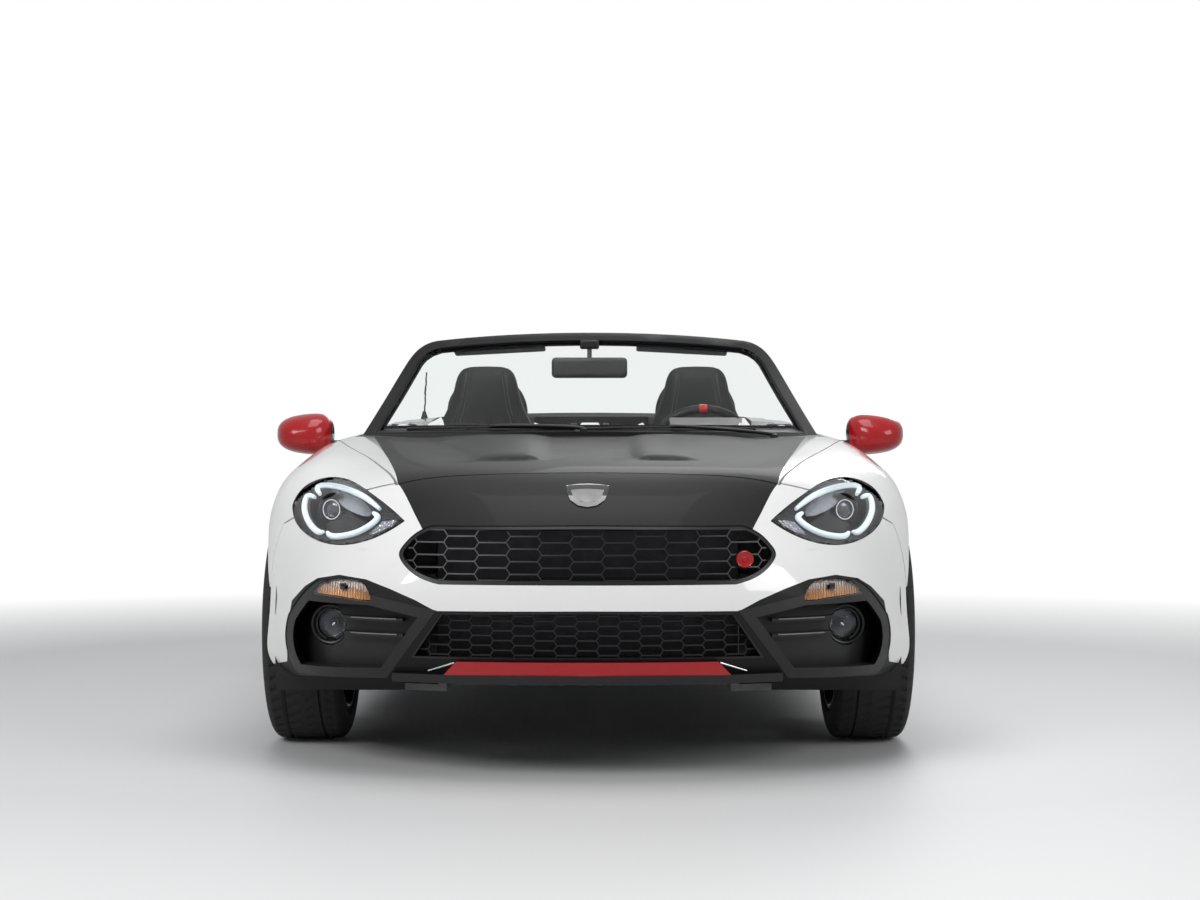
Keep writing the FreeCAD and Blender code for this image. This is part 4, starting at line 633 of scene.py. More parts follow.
def patch(outline, skin, depth, wall, view="front", step=0.007):
    """A curved plate: a grid laid on a skin, given a wall and cut to an outline drawn from one side."""
    first, second, way = VIEWS[view]
    low = [min(spot[i] for spot in outline) - step for i in (0, 1)]
    high = [max(spot[i] for spot in outline) + step for i in (0, 1)]
    count = [max(2, math.ceil((high[i] - low[i]) / step)) for i in (0, 1)]
    mesh = bmesh.new()
    layers = []
    for level in (depth, depth + wall):
        rows = []
        for i in range(count[0] + 1):
            row = []
            for j in range(count[1] + 1):
                a = low[0] + (high[0] - low[0]) * i / count[0]
                b = low[1] + (high[1] - low[1]) * j / count[1]
                spot = on_skin(skin, a, b, view, level)
                row.append(mesh.verts.new(spot) if spot else None)
            rows.append(row)
        layers.append(rows)
    kept = {}
    for i in range(count[0]):
        for j in range(count[1]):
            places = ((i, j), (i + 1, j), (i + 1, j + 1), (i, j + 1))
            if all(layers[0][a][b] for a, b in places):
                for rows in layers:
                    mesh.faces.new([rows[a][b] for a, b in places])
                for here, there in zip(places, places[1:] + places[:1]):
                    edge = frozenset((here, there))
                    kept[edge] = None if edge in kept else (here, there)
    for edge in kept.values():
        if edge:
            (a, b), (c, d) = edge
            mesh.faces.new([layers[0][a][b], layers[0][c][d], layers[1][c][d], layers[1][a][b]])
    loose = [vertex for vertex in mesh.verts if not vertex.link_faces]
    bmesh.ops.delete(mesh, geom=loose, context="VERTS")
    piece = from_mesh(mesh, "patch")
    return softened(carved(piece, bar(outline, view), "INTERSECT"), 35)


def ribbon(outline, skin, depth, wall, width, view="front", step=0.007):
    """The edge of a patch, as wide as given."""
    piece = patch(outline, skin, depth, wall, view, step)
    return softened(carved(piece, bar(inset(outline, width), view)), 35)


def wires(lines, radius, sides=4):
    """Many thin strands as one mesh."""
    mesh = bmesh.new()
    for line in lines:
        rings = []
        for index, spot in enumerate(line):
            run = (line[min(index + 1, len(line) - 1)] - line[max(index - 1, 0)]).normalized()
            one = run.orthogonal().normalized()
            two = run.cross(one)
            size = radius * (0.55 if index in (0, len(line) - 1) else 1)
            turns = [2 * pi * step / sides for step in range(sides)]
            rings.append([mesh.verts.new(spot + (one * cos(a) + two * sin(a)) * size) for a in turns])
        for ring, after in zip(rings, rings[1:]):
            hooped(mesh, ring, after, min(range(sides),
                                          key=lambda shift: (after[shift].co - ring[0].co).length))
        mesh.faces.new(rings[0])
        mesh.faces.new(rings[-1])
    return softened(from_mesh(mesh, "wires"), 60)


PANELS = {  # each finish with its nodes
    "split_paint": "hood front_bumper fender_left fender_right",
    "pearl_white": "quarter_left quarter_right rear_bumper door_left door_right",
    "matte_black": "trunk_lid windshield_frame",
    "window_glass": "windshield_glass",
    "black_grain": "cowl_panel rear_bulkhead rear_diffuser",
    "dark_steel": "floor_tub firewall front_frame rear_frame",
    "cast_metal": "front_suspension rear_suspension knuckle_left knuckle_right powertrain",
    "bright_metal": "exhaust",
    "soft_dash": "dashboard",
    "black_satin": "center_console roll_hoops grilles front_splitter",
    "accent_red": "lip_strip",
}


class ROADSTER_OT_panels(bpy.types.Operator):
    """Paint the body panels and finish the fixed pieces"""

    bl_idname = "roadster.panels"
    bl_label = "Panels"

    def execute(self, context):
        make_finishes(context.scene.roadster_sizes)
        for paint, nodes in PANELS.items():
            for node in nodes.split():
                smoothed(node, paint).visible_shadow = "glass" not in node
        return {"FINISHED"}


# Lamps

HEADLAMP = mm((443, 610), (466, 630), (493, 647), (518, 663), (543, 677), (575, 694), (610, 706),
              (640, 712), (668, 712), (700, 706), (728, 694), (749, 671), (765, 640), (757, 615),
              (742, 592), (714, 571), (680, 556), (637, 549), (592, 549), (548, 557), (508, 572),
              (472, 592))
LIGHT_GUIDES = (
    mm((688, 668), (705, 683), (692, 690), (665, 691), (624, 685), (582, 674), (542, 657), (513, 636)),
    mm((702, 660), (724, 669), (730, 648), (727, 626), (715, 604), (696, 584), (671, 571), (664, 578)),
    mm((652, 576), (647, 566), (611, 567), (570, 577), (540, 592), (520, 608), (514, 619), (529, 626)),
)
GUIDE_DEPTH = 0.017
BOWL_DEPTH = 0.078
BOWL_MOUTH = 0.86
PROJECTOR = (0.649, 0.631)
PROJECTOR_TURN = 24
REFLECTOR = mm((664, 690), (624, 682), (568, 660), (535, 633), (541, 612), (613, 634), (640, 660),
               (652, 672))
FACETS = mm((505, 606), (462, 612), (478, 596), (512, 579), (535, 574), (522, 590))
PARTS_OF_NOSE = ("headlamps", "front_bumper", "fender_left", "hood")


def head_lamp():
    """Cover, bowl, light guides, projector and reflector of the left lamp, each with its paint."""
    skin = skin_of(*PARTS_OF_NOSE)
    cover = patch(inset(HEADLAMP, 0.0006), skin, 0.0005, 0.003)
    bowl = patch(inset(HEADLAMP, 0.0008), skin, 0.0038, BOWL_DEPTH, step=0.009)
    carved(bowl, patch(inset(HEADLAMP, 0.004), skin, -0.01, 0.034, step=0.009))
    middle = Vector((0.618, 0.628))
    mouth = [Vector(spot) for guide in LIGHT_GUIDES for spot in guide[1:-1]]
    mouth.sort(key=lambda spot: math.atan2(spot.y - middle.y, spot.x - middle.x))
    mouth = [tuple(middle + (spot - middle) * BOWL_MOUTH) for spot in mouth]
    carved(bowl, patch(mouth, skin, -0.01, 0.082, step=0.009))
    softened(bowl, 35)
    guides = [wire([on_skin(skin, *spot, depth=GUIDE_DEPTH) for spot in guide], 0.0078, sides=12,
                   taper=True)
              for guide in LIGHT_GUIDES]
    base = on_skin(skin, *PROJECTOR, depth=0.044)
    way = ahead(PROJECTOR_TURN)
    ring = spun(mm((-30, 26), (0, 26.5), (3, 25.5), (3, 23.5), (-1, 22.5), (-30, 22)), base, way)
    barrel = spun(mm((-50, 46), (-6, 43), (-4, 40), (-12, 34.5), (-8, 31), (-16, 26), (-50, 26)), base, way)
    dome = [(-0.008 + 0.009 * cos(a), 0.0222 * sin(a)) for a in (1.5, 1.2, 0.9, 0.6, 0.3)]
    lens = spun([(-0.03, 0.0001), (-0.03, 0.0222), *dome, (0.001, 0.0001)], base, way)
    reflector = patch(rounded(REFLECTOR, 1), skin, 0.034, 0.004)
    facets = patch(FACETS, skin, 0.0225, 0.004)
    return [("covers", cover, "lamp_glass"), ("bowls", bowl, "lamp_black"),
            ("light_guides", joined(guides), "lamp_glow"),
            ("projector_rings", ring, "chrome"), ("projector_barrels", barrel, "lamp_black"),
            ("projector_lenses", lens, "dark_glass"), ("reflectors", reflector, "ribbed_chrome"),
            ("facets", facets, "faceted_chrome")]


class ROADSTER_OT_headlamps(bpy.types.Operator):
    """Model both headlamps behind their covers"""

    bl_idname = "roadster.headlamps"
    bl_label = "Headlamps"

    def execute(self, context):
        for name, piece, paint in head_lamp():
            both = pair(piece)
            dressed(both, f"headlamp_{name}", paint,
                    nodes=["headlamps"] if name == "covers" else ())
            both.visible_shadow = "glass" not in paint
        return {"FINISHED"}


TURN_LAMP = mm((673, 430), (671, 438), (662, 449), (649, 459), (628, 466), (606, 470), (580, 471),
               (559, 470), (545, 466), (534, 459), (526, 448), (519, 434), (517, 421), (551, 421),
               (597, 426))
FOG_LAMP = (0.636, -1.712, 0.352)
FOG_WAY = ahead(12)


class ROADSTER_OT_intakes(bpy.types.Operator):
    """Model the corner intakes with their fog and turn lamps"""

    bl_idname = "roadster.intakes"
    bl_label = "Corner intakes"

    def execute(self, context):
        skin = skin_of("corner_intakes", "front_bumper", "fender_left")
        surround = merged("corner_intakes", "corner_intake_surrounds")
        bumper = bpy.data.objects["front_bumper_skin"]
        hollow = pair(patch(inset(TURN_LAMP, -0.0006), skin, -0.02, 0.048))
        carved(bumper, placed(hollow.data.copy(), "copy"))
        softened(bumper, 32)
        carved(surround, hollow)
        for back, radius, way in ((-0.001, 0.0512, FOG_WAY), (-0.001, 0.0495, (0, -1, 0)),
                                  (-0.05, 0.036, FOG_WAY)):
            hole = spun([(back, 0.0001), (back, radius), (0.15, radius), (0.15, 0.0001)], FOG_LAMP, way)
            carved(surround, pair(hole))
        softened(surround, 32)
        dressed(surround, "corner_intake_surrounds", "black_grain", nodes=["corner_intakes"])
        slats = skin_of("corner_intakes")
        edges = []
        for level in (0.3785, 0.3415):
            path = [on_skin(slats, 0.455 + 0.013 * step, level, depth=-0.0006) for step in range(10)]
            edges.append(wire([spot for spot in path if spot and abs(spot.y - path[4].y) < 0.12], 0.0019))
        dressed(pair(joined(edges)), "intake_slat_edges", "cast_metal")
        bezel = spun(mm((0, 50.8), (6, 50.8), (10, 48), (8, 44), (-12, 35.8), (-30, 35.2), (-30, 38.5),
                        (0, 45)), FOG_LAMP, FOG_WAY)
        dish = spun(mm((-46, 0.1), (-46, 12), (-36, 26), (-18, 35.2), (-20, 35.8), (-48, 35.5), (-48, 0.1)),
                    FOG_LAMP, FOG_WAY)
        cap = spun(mm((-46, 0.1), (-46, 6), (-20, 7.5), (-14, 5), (-12, 0.1)), FOG_LAMP, FOG_WAY, steps=16)
        lens = spun(mm((-16, 0.1), (-16, 35.2), (-13, 35.2), (-6, 26), (-2, 13), (-0.5, 0.1)), FOG_LAMP,
                    FOG_WAY)
        turn = patch(TURN_LAMP, skin, -0.0004, 0.003, step=0.005)
        back = patch(inset(TURN_LAMP, 0.002), skin, 0.016, 0.004, step=0.005)
        for name, piece, paint in (("fog_bezels", bezel, "black_satin"),
                                   ("fog_dishes", dish, "ribbed_chrome"),
                                   ("fog_caps", cap, "chrome"), ("fog_lenses", lens, "lamp_glass"),
                                   ("turn_lenses", turn, "lamp_glass"),
                                   ("turn_reflectors", back, "amber_ribs")):
            both = dressed(pair(piece), name, paint)
            both.visible_shadow = paint != "lamp_glass"
        return {"FINISHED"}


TAIL_LAMP = mm((452, 696), (456, 738), (462, 780), (500, 794), (545, 805), (600, 812), (655, 814),
               (700, 811), (740, 804), (774, 790), (800, 768), (806, 745), (808, 722), (794, 704),
               (770, 690), (700, 681), (620, 676), (536, 682))


class ROADSTER_OT_tail_lamps(bpy.types.Operator):
    """Model both rear lamps"""

    bl_idname = "roadster.tail_lamps"
    bl_label = "Rear lamps"

    def execute(self, context):
        skin = skin_of("tail_lamps", "quarter_left", "rear_bumper")
        cover = patch(inset(TAIL_LAMP, 0.0006), skin, 0.0005, 0.003, "rear")
        housing = patch(inset(TAIL_LAMP, 0.0008), skin, 0.0038, 0.05, "rear", 0.009)
        carved(housing, patch(inset(TAIL_LAMP, 0.006), skin, -0.01, 0.042, "rear", 0.009))
        softened(housing)
        guide = ribbon(inset(TAIL_LAMP, 0.014), skin, 0.018, 0.012, 0.011, "rear")
        middle = patch(inset(TAIL_LAMP, 0.036), skin, 0.022, 0.008, "rear")
        parts = (("covers", cover, "red_lens"), ("housings", housing, "lamp_black"),
                 ("guides", guide, "red_glow"),
                 ("reflectors", middle, "ribbed_chrome"))
        for name, piece, paint in parts:
            both = dressed(pair(piece), f"tail_lamp_{name}", paint,
                           nodes=["tail_lamps"] if name == "covers" else ())
            both.visible_shadow = name != "covers"
        return {"FINISHED"}


# Wheels

TREAD_STEPS = 270
CROWN_DROP = 0.0028


def tread_depth(place, step, depth):
    """How far the tread is cut at a place across it, from -1 to 1, and at a step round it."""
    for groove, width in ((-0.47, 0.055), (0.0, 0.05), (0.47, 0.055)):
        if abs(place - groove) < width:
            return depth
    slant = round(abs(place) * 7)
    if abs(place) > 0.56 and (step + slant) % 5 == 0:
        return depth * 0.8
    if 0.09 < abs(place) < 0.4 and (step * (1 if place > 0 else -1) - slant) % 5 == 0:
        return depth * 0.7
    return 0.0


def box_of(node):
    """A node's lowest corner, its highest one and the middle between them."""
    low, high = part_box(node)
    return low, high, Vector([(a + b) / 2 for a, b in zip(low, high)])


def tyre(node, sizes):
    """A tyre with a cut tread in a node's place."""
    low, high, centre = box_of(node)
    outer, half = (high[2] - low[2]) / 2, (high[0] - low[0]) / 2
    across = [-0.745, -0.70, -0.62, -0.53, -0.525, -0.415, -0.41, -0.32, -0.22, -0.13, -0.055, -0.05, 0.05,
              0.055, 0.13, 0.22, 0.32, 0.41,
              0.415, 0.525, 0.53, 0.62, 0.70, 0.745]
    side = [(0.875, 0.222), (0.885, 0.2335), (0.95, 0.2385), (0.985, 0.246), (1.0, 0.258), (0.998, 0.268),
            (0.992, 0.270), (0.990, 0.2715),
            (0.975, 0.280), (0.945, 0.289), (0.90, 0.2965), (0.85, 0.3015), (0.80, 0.3045)]
    mesh = bmesh.new()
    rings = []
    for step in range(TREAD_STEPS):
        turn = 2 * pi * step / TREAD_STEPS
        line = [(-a * half, r) for a, r in side]
        for place in across:
            crown = outer - CROWN_DROP * abs(place / across[-1]) ** 3
            line.append((place * half, crown - tread_depth(place, step, sizes.tread_depth)))
        line += [(a * half, r) for a, r in reversed(side)]
        if step % 5 == 0:
            for index in (11, -12):
                line[index] = (line[index][0], line[index][1] - 0.004)
        rings.append([mesh.verts.new(centre + Vector((x, r * sin(turn), r * cos(turn)))) for x, r in line])
    for ring, after in zip(rings, rings[1:] + rings[:1]):
        hooped(mesh, ring, after)
    piece = softened(from_mesh(mesh, node), 38)
    return dressed(piece, f"{node}_rubber", "tyre_rubber", body=BODY_OF[node], nodes=[node])


class ROADSTER_OT_wheels(bpy.types.Operator):
    """Model tyres, rims, wheel nuts, caps and discs"""

    bl_idname = "roadster.wheels"
    bl_label = "Wheels"

    def execute(self, context):
        for corner in CORNERS:
            body = f"wheel_{corner}"
            tyre(f"tyre_{corner}", context.scene.roadster_sizes)
            centre = box_of(f"rim_{corner}")[2]
            side = 1 if "left" in corner else -1
            rim = merged(f"rim_{corner}", "rim")
            bevelled(rim, 0.0022, angle_limit=radians(35))
            dressed(rim, f"rim_{corner}_alloy", "dark_alloy", body=body,
                    nodes=[f"rim_{corner}"])
            disc = softened(merged(f"disc_{corner}", "disc"), 30)
            dressed(disc, f"disc_{corner}_iron", "brake_iron", body=body,
                    nodes=[f"disc_{corner}"])
            face = centre + Vector((side * 0.0585, 0, 0))
            way = (side, 0, 0)
            cap = spun(mm((-4, 0.1), (-4, 29.5), (1, 29.5), (3.5, 27), (3.5, 23.5), (2.2, 22.5),
                          (4.5, 0.1)),
                       face + Vector((side * 0.001, 0, 0)), way)
            dressed(cap, f"cap_{corner}", "gloss_black", body=body)
            nuts = []
            for step in range(4):
                turn = pi * (0.25 + step / 2)
                spot = face + Vector((side * 0.0035, 0.05 * cos(turn), 0.05 * sin(turn)))
                nuts.append(spun(mm((0, 13.1), (4.2, 13.1), (5.2, 11.8), (4.2, 10.5), (0, 10.5)),
                                 spot, way, 24))
                nuts.append(spun(mm((-2, 0.1), (-2, 9.8), (8, 9.8), (11, 7.5), (11.5, 0.1)), spot, way, 6))
            dressed(nuts, f"nuts_{corner}", "dark_steel", body=body)
            valve = centre + Vector((side * 0.062, 0, 0.197))
            stem = spun(mm((0, 0.1), (0, 4.2), (22, 3.6), (30, 3.6), (31, 0.1)), valve,
                        (side * 0.9, 0, -0.43), 12)
            dressed(stem, f"valve_{corner}", "black_satin", body=body)
        return {"FINISHED"}


# Brakes, exhaust and engine bay

def arch(centre, radii, angles, wide):
    """A ring's sector about an axis across the car."""
    mesh = bmesh.new()
    rows = []
    for x in (-wide / 2, wide / 2):
        for radius in radii:
            rows.append([mesh.verts.new(centre + Vector((x, radius * cos(a), radius * sin(a))))
                         for a in map(radians, angles)])
    for one, two in ((0, 1), (2, 3), (0, 2), (1, 3)):
        one, two = rows[one], rows[two]
        for index in range(len(one) - 1):
            mesh.faces.new((one[index], one[index + 1], two[index + 1], two[index]))
    for end in (0, -1):
        mesh.faces.new([rows[row][end] for row in (0, 1, 3, 2)])
    return from_mesh(mesh, "arch")


def sector(centre, radii, span, wide):
    """A brake caliper's block with soft edges."""
    return bevelled(arch(centre, radii, range(span[0], span[1] + 1, 4), wide), 0.006, 3)


TAIL_PIPES = (1.998, 0.258)


class ROADSTER_OT_brakes(bpy.types.Operator):
    """Model the brake calipers and the exhaust tips"""

    bl_idname = "roadster.brakes"
    bl_label = "Calipers and exhaust tips"

    def execute(self, context):
        for corner in CORNERS:
            low, high, centre = box_of(f"disc_{corner}")
            radius = (high[2] - low[2]) / 2
            front = "front" in corner
            body = f"knuckle_{corner.split('_')[1]}" if front else CAR
            span = (-28, 28) if front else (156, 204)
            side = 1 if "left" in corner else -1
            shell = sector(centre, (radius - 0.048, radius + 0.010), span, high[0] - low[0] + 0.048)
            bridge = sector(centre + Vector((-side * 0.012, 0, 0)), (radius - 0.03, radius + 0.016),
                            (span[0] + 12, span[1] - 12), 0.05)
            slot_cut = sector(centre, (radius - 0.06, radius + 0.004), (span[0] - 8, span[1] + 8),
                              high[0] - low[0] + 0.004)
            piece = carved(joined([shell, bridge]), slot_cut)
            dressed(softened(piece, 40), f"caliper_{corner}", "accent_red", body=body)
        for name, paint, outline in (
            ("tips", "chrome", mm((-70, 42.5), (0, 43.2), (3.5, 42.5), (3.5, 40), (-1, 38.5), (-70, 38))),
            ("mouths", "lamp_black",
             mm((-90, 0.1), (-90, 37.9), (-4, 37.9), (-4, 37.2), (-86, 37.2), (-86, 0.1))),
        ):
            pipes = [spun(outline, (x, *TAIL_PIPES), (0, 1, 0), 48) for x in (-0.420, -0.330, 0.330, 0.420)]
            dressed(pipes, f"exhaust_{name}", paint)
        return {"FINISHED"}


class ROADSTER_OT_engine(bpy.types.Operator):
    """Dress the engine: cover, air box, hoses, battery and coolant bottle"""

    bl_idname = "roadster.engine"
    bl_label = "Engine bay"

    def execute(self, context):
        cover = [block((0.27, 0.50, 0.055), (0, -1.06, 0.624), 0.018, segments=5)]
        for step in range(-3, 4):
            cover.append(block((0.010, 0.36, 0.010), (step * 0.030, -1.09, 0.6515), 0.003))
        dressed(cover, "engine_cover", "black_grain")
        caps = [spun(mm((0, 0.1), (0, 29), (16, 27), (20, 21), (20, 0.1)), (0.085, -0.865, 0.648), UP, 12)]
        for x in (-0.115, 0.115):
            for y in (-1.28, -0.85):
                if (x, y) != (0.115, -0.85):
                    caps.append(spun(mm((0, 0.1), (0, 9), (6, 8), (7, 0.1)), (x, y, 0.650), UP, 6))
        dressed(caps, "engine_caps", "cast_metal")
        box = [block((0.205, 0.27, 0.15), (-0.2525, -1.19, 0.530), 0.022, segments=4),
               block((0.215, 0.28, 0.012), (-0.2525, -1.19, 0.560), 0.004)]
        dressed(box, "air_box", "black_satin")
        route = mm((-300, -1300, 560), (-290, -1400, 600), (-180, -1430, 620), (-50, -1400, 600),
                   (-20, -1300, 615))
        hose = wire(route, 0.032, sides=16)
        bands = [wire(ring_at((-0.29, -1.385, 0.594), (0.2, -1, 0.3), 0.034), 0.0035, closed=True),
                 wire(ring_at((-0.035, -1.375, 0.604), (0.3, 1, 0.1), 0.034), 0.0035, closed=True)]
        dressed(hose, "air_hose", "tyre_rubber")
        dressed(bands, "hose_bands", "bright_metal")
        case = [block((0.235, 0.165, 0.17), (0.285, -0.715, 0.535), 0.008),
                block((0.25, 0.24, 0.012), (0.285, -0.7, 0.444), 0.003)]
        dressed(case, "battery", "black_grain")
        dressed(block((0.239, 0.169, 0.03), (0.285, -0.715, 0.606), 0.006), "battery_lid", "black_satin")
        posts = [spun(mm((0, 0.1), (0, 14), (14, 12), (15, 0.1)), (x, -0.67, 0.62), UP, 16)
                 for x in (0.20, 0.37)]
        dressed(posts, "battery_posts", "bright_metal")
        bottle = [block((0.15, 0.14, 0.15), (-0.285, -0.70, 0.54), 0.03, segments=5),
                  block((0.16, 0.22, 0.012), (-0.285, -0.695, 0.462), 0.003)]
        dressed(bottle, "coolant_bottle", "plate_paint")
        cap = spun(mm((0, 0.1), (0, 24), (20, 23), (23, 18), (23, 0.1)), (-0.285, -0.70, 0.613), UP, 10)
        dressed(cap, "coolant_cap", "black_satin")
        return {"FINISHED"}


def ring_at(place, way, radius):
    """Points of a circle about an axis."""
    way = Vector(way).normalized()
    one = way.orthogonal().normalized()
    two = way.cross(one)
    turns = [2 * pi * step / 16 for step in range(16)]
    return [Vector(place) + (one * cos(a) + two * sin(a)) * radius for a in turns]


# Screen, mirrors and outer trim

GLASS_EDGE = mm((0, 838), (330, 838), (650, 836), (634, 876), (618, 912), (600, 953), (583, 994),
                (566, 1035), (555, 1061), (540, 1082), (516, 1100), (484, 1112), (370, 1123), (250, 1130),
                (120, 1135), (0, 1137))
WIPER_PIVOT_Y = -0.581  # behind the open hood's edge


def whole(half):
    """A half outline on the left, with its mirror image."""
    return half + [(-a, b) for a, b in reversed(half) if a > 0.001]


def ellipse(centre, width, height, power=2.0, steps=28):
    """A rounded outline, squarer with a higher power."""
    spots = []
    for step in range(steps):
        turn = 2 * pi * (step + 0.5) / steps
        a, b = cos(turn), sin(turn)
        a, b = (math.copysign(abs(part) ** (2 / power), part) for part in (a, b))
        spots.append((centre[0] + width * a, centre[1] + height * b))
    return spots


class ROADSTER_OT_screen(bpy.types.Operator):
    """Model the screen's black border, wipers and inner mirror"""

    bl_idname = "roadster.screen"
    bl_label = "Windshield"

    def execute(self, context):
        glass = skin_of("windshield_glass")
        border = edging(inset(whole(GLASS_EDGE), 0.003), glass, 0.0078, 0.0012, 0.016)
        dressed(border, "screen_border", "gloss_black")
        seal = edging(inset(whole(GLASS_EDGE), -0.002), skin_of("windshield_glass", "windshield_frame"),
                      -0.0015, 0.005, 0.008)
        dressed(seal, "screen_seal", "black_satin")
        housing = block((0.244, 0.034, 0.066), (-0.004, -0.062, 1.046), 0.014, segments=5)
        mirror = block((0.222, 0.003, 0.050), (-0.004, -0.0455, 1.046), 0.0012)
        stalk = wire([(-0.004, -0.066, 1.062), (-0.004, -0.060, 1.10), (-0.004, -0.030, 1.128)], 0.0075)
        foot = block((0.062, 0.03, 0.03), (-0.004, -0.045, 1.122), 0.006)
        dressed([housing, stalk, foot], "inner_mirror_housing", "black_satin")
        dressed(mirror, "inner_mirror_glass", "chrome")
        visors = [block((0.30, 0.155, 0.014), (side * 0.30, 0.062, 1.113), 0.006,
                        tilted(-5, side * 3)) for side in SIDES]
        dressed(visors, "sun_visors", "soft_dash")
        blades, arms = [], []
        for first, last, pivot, seat in ((-0.555, -0.045, -0.02, 0.838), (-0.01, 0.50, 0.55, 0.8195)):
            path = [(first + (last - first) * step / 8,
                     0.8465 + 0.004 * sin(pi * step / 8)) for step in range(9)]
            path = traced(glass, path, "front", -0.006)
            blades.append(wire(path, 0.0042, sides=8))
            middle = path[len(path) // 2]
            arms.append(wire([(pivot, WIPER_PIVOT_Y, seat + 0.008),
                              (pivot - 0.02, WIPER_PIVOT_Y - 0.002, seat + 0.015),
                              middle + Vector((0, -0.012, 0.006)), middle + Vector((0, -0.006, 0.002))],
                              0.0055))
            arms.append(spun(mm((0, 0.1), (0, 12), (12, 10), (14, 0.1)),
                             (pivot, WIPER_PIVOT_Y, seat - 0.002), (0, -0.2, 1), 20))
        dressed(blades, "wiper_blades", "tyre_rubber")
        dressed(arms, "wiper_arms", "black_satin")
        return {"FINISHED"}


class ROADSTER_OT_trim(bpy.types.Operator):
    """Model door mirrors, handles, flap, markers, badge and plate"""

    bl_idname = "roadster.trim"
    bl_label = "Outer trim"

    def execute(self, context):
        for side, way in WAYS.items():
            node = f"mirror_{side}"
            smoothed(node, "mirror_paint", f"{node}_shell", 40)
            face = [(way * 0.873 + way * a, 0.831 + b * (1 - 0.16 * a / 0.086)) for a,
                    b in ellipse((0, 0), 0.077, 0.053, 2.9)]
            glass = bar(face, "front", -0.4015, -0.3985)
            softened(applied(glass, "BEVEL", width=0.0012, segments=2))
            dressed(glass, f"{node}_glass", "chrome", body=f"door_{side}")
        skin = skin_of("door_left", "quarter_left", "fender_left")
        dish = patch(ellipse((0.395, 0.665), 0.082, 0.026, 2.6), skin, -0.0006, 0.0012, "left", 0.006)
        grip = patch(ellipse((0.395, 0.672), 0.088, 0.0125, 3.2), skin, -0.014, 0.011, "left", 0.006)
        stem = patch(ellipse((0.33, 0.672), 0.014, 0.010, 3), skin, -0.006, 0.012, "left", 0.004)
        lock = patch(ellipse((0.462, 0.672), 0.012, 0.010, 3), skin, -0.006, 0.012, "left", 0.004)
        grip = bevelled(joined([grip, stem, lock]), 0.002, angle=32)
        for side in ("left", "right"):
            pieces = [dish, grip] if side == "left" else [twin(dish), twin(grip)]
            dressed(pieces[0], f"door_{side}_handle_dish", "black_satin", body=f"door_{side}")
            dressed(pieces[1], f"door_{side}_handle", "pearl_white", body=f"door_{side}")
        quarter = skin_of("quarter_right")
        flap = ellipse((1.14, 0.735), 0.076, 0.07, 3.2, 36)
        dressed(ribbon(flap, quarter, -0.0008, 0.002, 0.0035, "right", 0.006), "fuel_flap_gap",
                "black_satin")
        fender = skin_of("fender_left", "quarter_left", "front_bumper", "rear_bumper")
        ambers = pair(patch(ellipse((-0.745, 0.62), 0.034, 0.011, 3), fender, -0.003, 0.004, "left", 0.004))
        dressed(ambers, "side_repeaters", "amber_lens")
        reds = pair(patch(ellipse((0.60, 0.40), 0.042, 0.013, 3), skin_of("rear_bumper"), -0.003, 0.004,
                          "rear", 0.005))
        dressed(reds, "rear_reflectors", "red_solid")
        nose = skin_of("front_bumper", "hood")
        shield = mm((0, 648), (22, 652), (40, 664), (48, 680), (50, 694), (26, 697), (0, 698))
        plate = patch(inset(whole(shield), 0.008), nose, -0.0035, 0.0045, step=0.004)
        bevelled(plate, 0.001, angle=32)
        rim = ribbon(inset(whole(shield), -0.002), nose, -0.0045, 0.0055, 0.0105, step=0.004)
        dressed(plate, "nose_shield", "cast_metal")
        dressed(rim, "nose_shield_rim", "gloss_black")
        spot = Vector((0.374, -1.938, 0.522))
        cap = spun(mm((-20, 0.1), (-20, 20.5), (3, 20.5), (5, 18.5), (3.8, 16.5), (3.8, 7), (5.2, 5.5),
                      (5.2, 0.1)), spot)
        dressed(cap, "tow_cap", "accent_red")
        washers = patch(ellipse((0.5475, 0.546), 0.0135, 0.0052, 2.6), nose, -0.0014, 0.0024, step=0.003)
        dressed(pair(washers), "washer_covers", "pearl_white")
        lip = skin_of("front_bumper", "lip_strip", "front_splitter")
        ends = [on_skin(lip, x, z, depth=-0.0008) for x,
                z in ((0.377, 0.259), (0.345, 0.2698), (0.313, 0.2806))]
        dressed(pair(wire(ends, 0.0028)), "strip_ends", "bright_metal")
        tail = skin_of("rear_bumper", "trunk_lid", "rear_diffuser")
        board = patch(ellipse((0, 0.49), 0.262, 0.062, 9), tail, -0.0035, 0.003, "rear", 0.012)
        dressed(board, "rear_plate_board", "plate_paint")
        recess = ribbon(ellipse((0, 0.49), 0.285, 0.082, 7), tail, -0.004, 0.006, 0.014, "rear", 0.01)
        dressed(recess, "rear_plate_frame", "black_satin")
        stop = patch(ellipse((0, 0.895), 0.15, 0.0095, 5), skin_of("trunk_lid"), -0.0012, 0.004, "rear",
                     0.004)
        dressed(stop, "high_stop_lamp", "red_solid", body="trunk_lid")
        base = on_skin(skin_of("quarter_right"), -0.635, 1.16, "top", 0.001)
        mast = wire([base + Vector((0, y, z)) for y,
                     z in ((0, 0), (0.01, 0.03), (0.07, 0.115), (0.115, 0.18))], 0.0028)
        foot = spun(mm((0, 0.1), (0, 16), (8, 13), (30, 6), (32, 0.1)), base, UP, 24)
        dressed([mast, foot], "antenna", "black_satin")
        return {"FINISHED"}


# Cabin

SEAT_X = 0.366
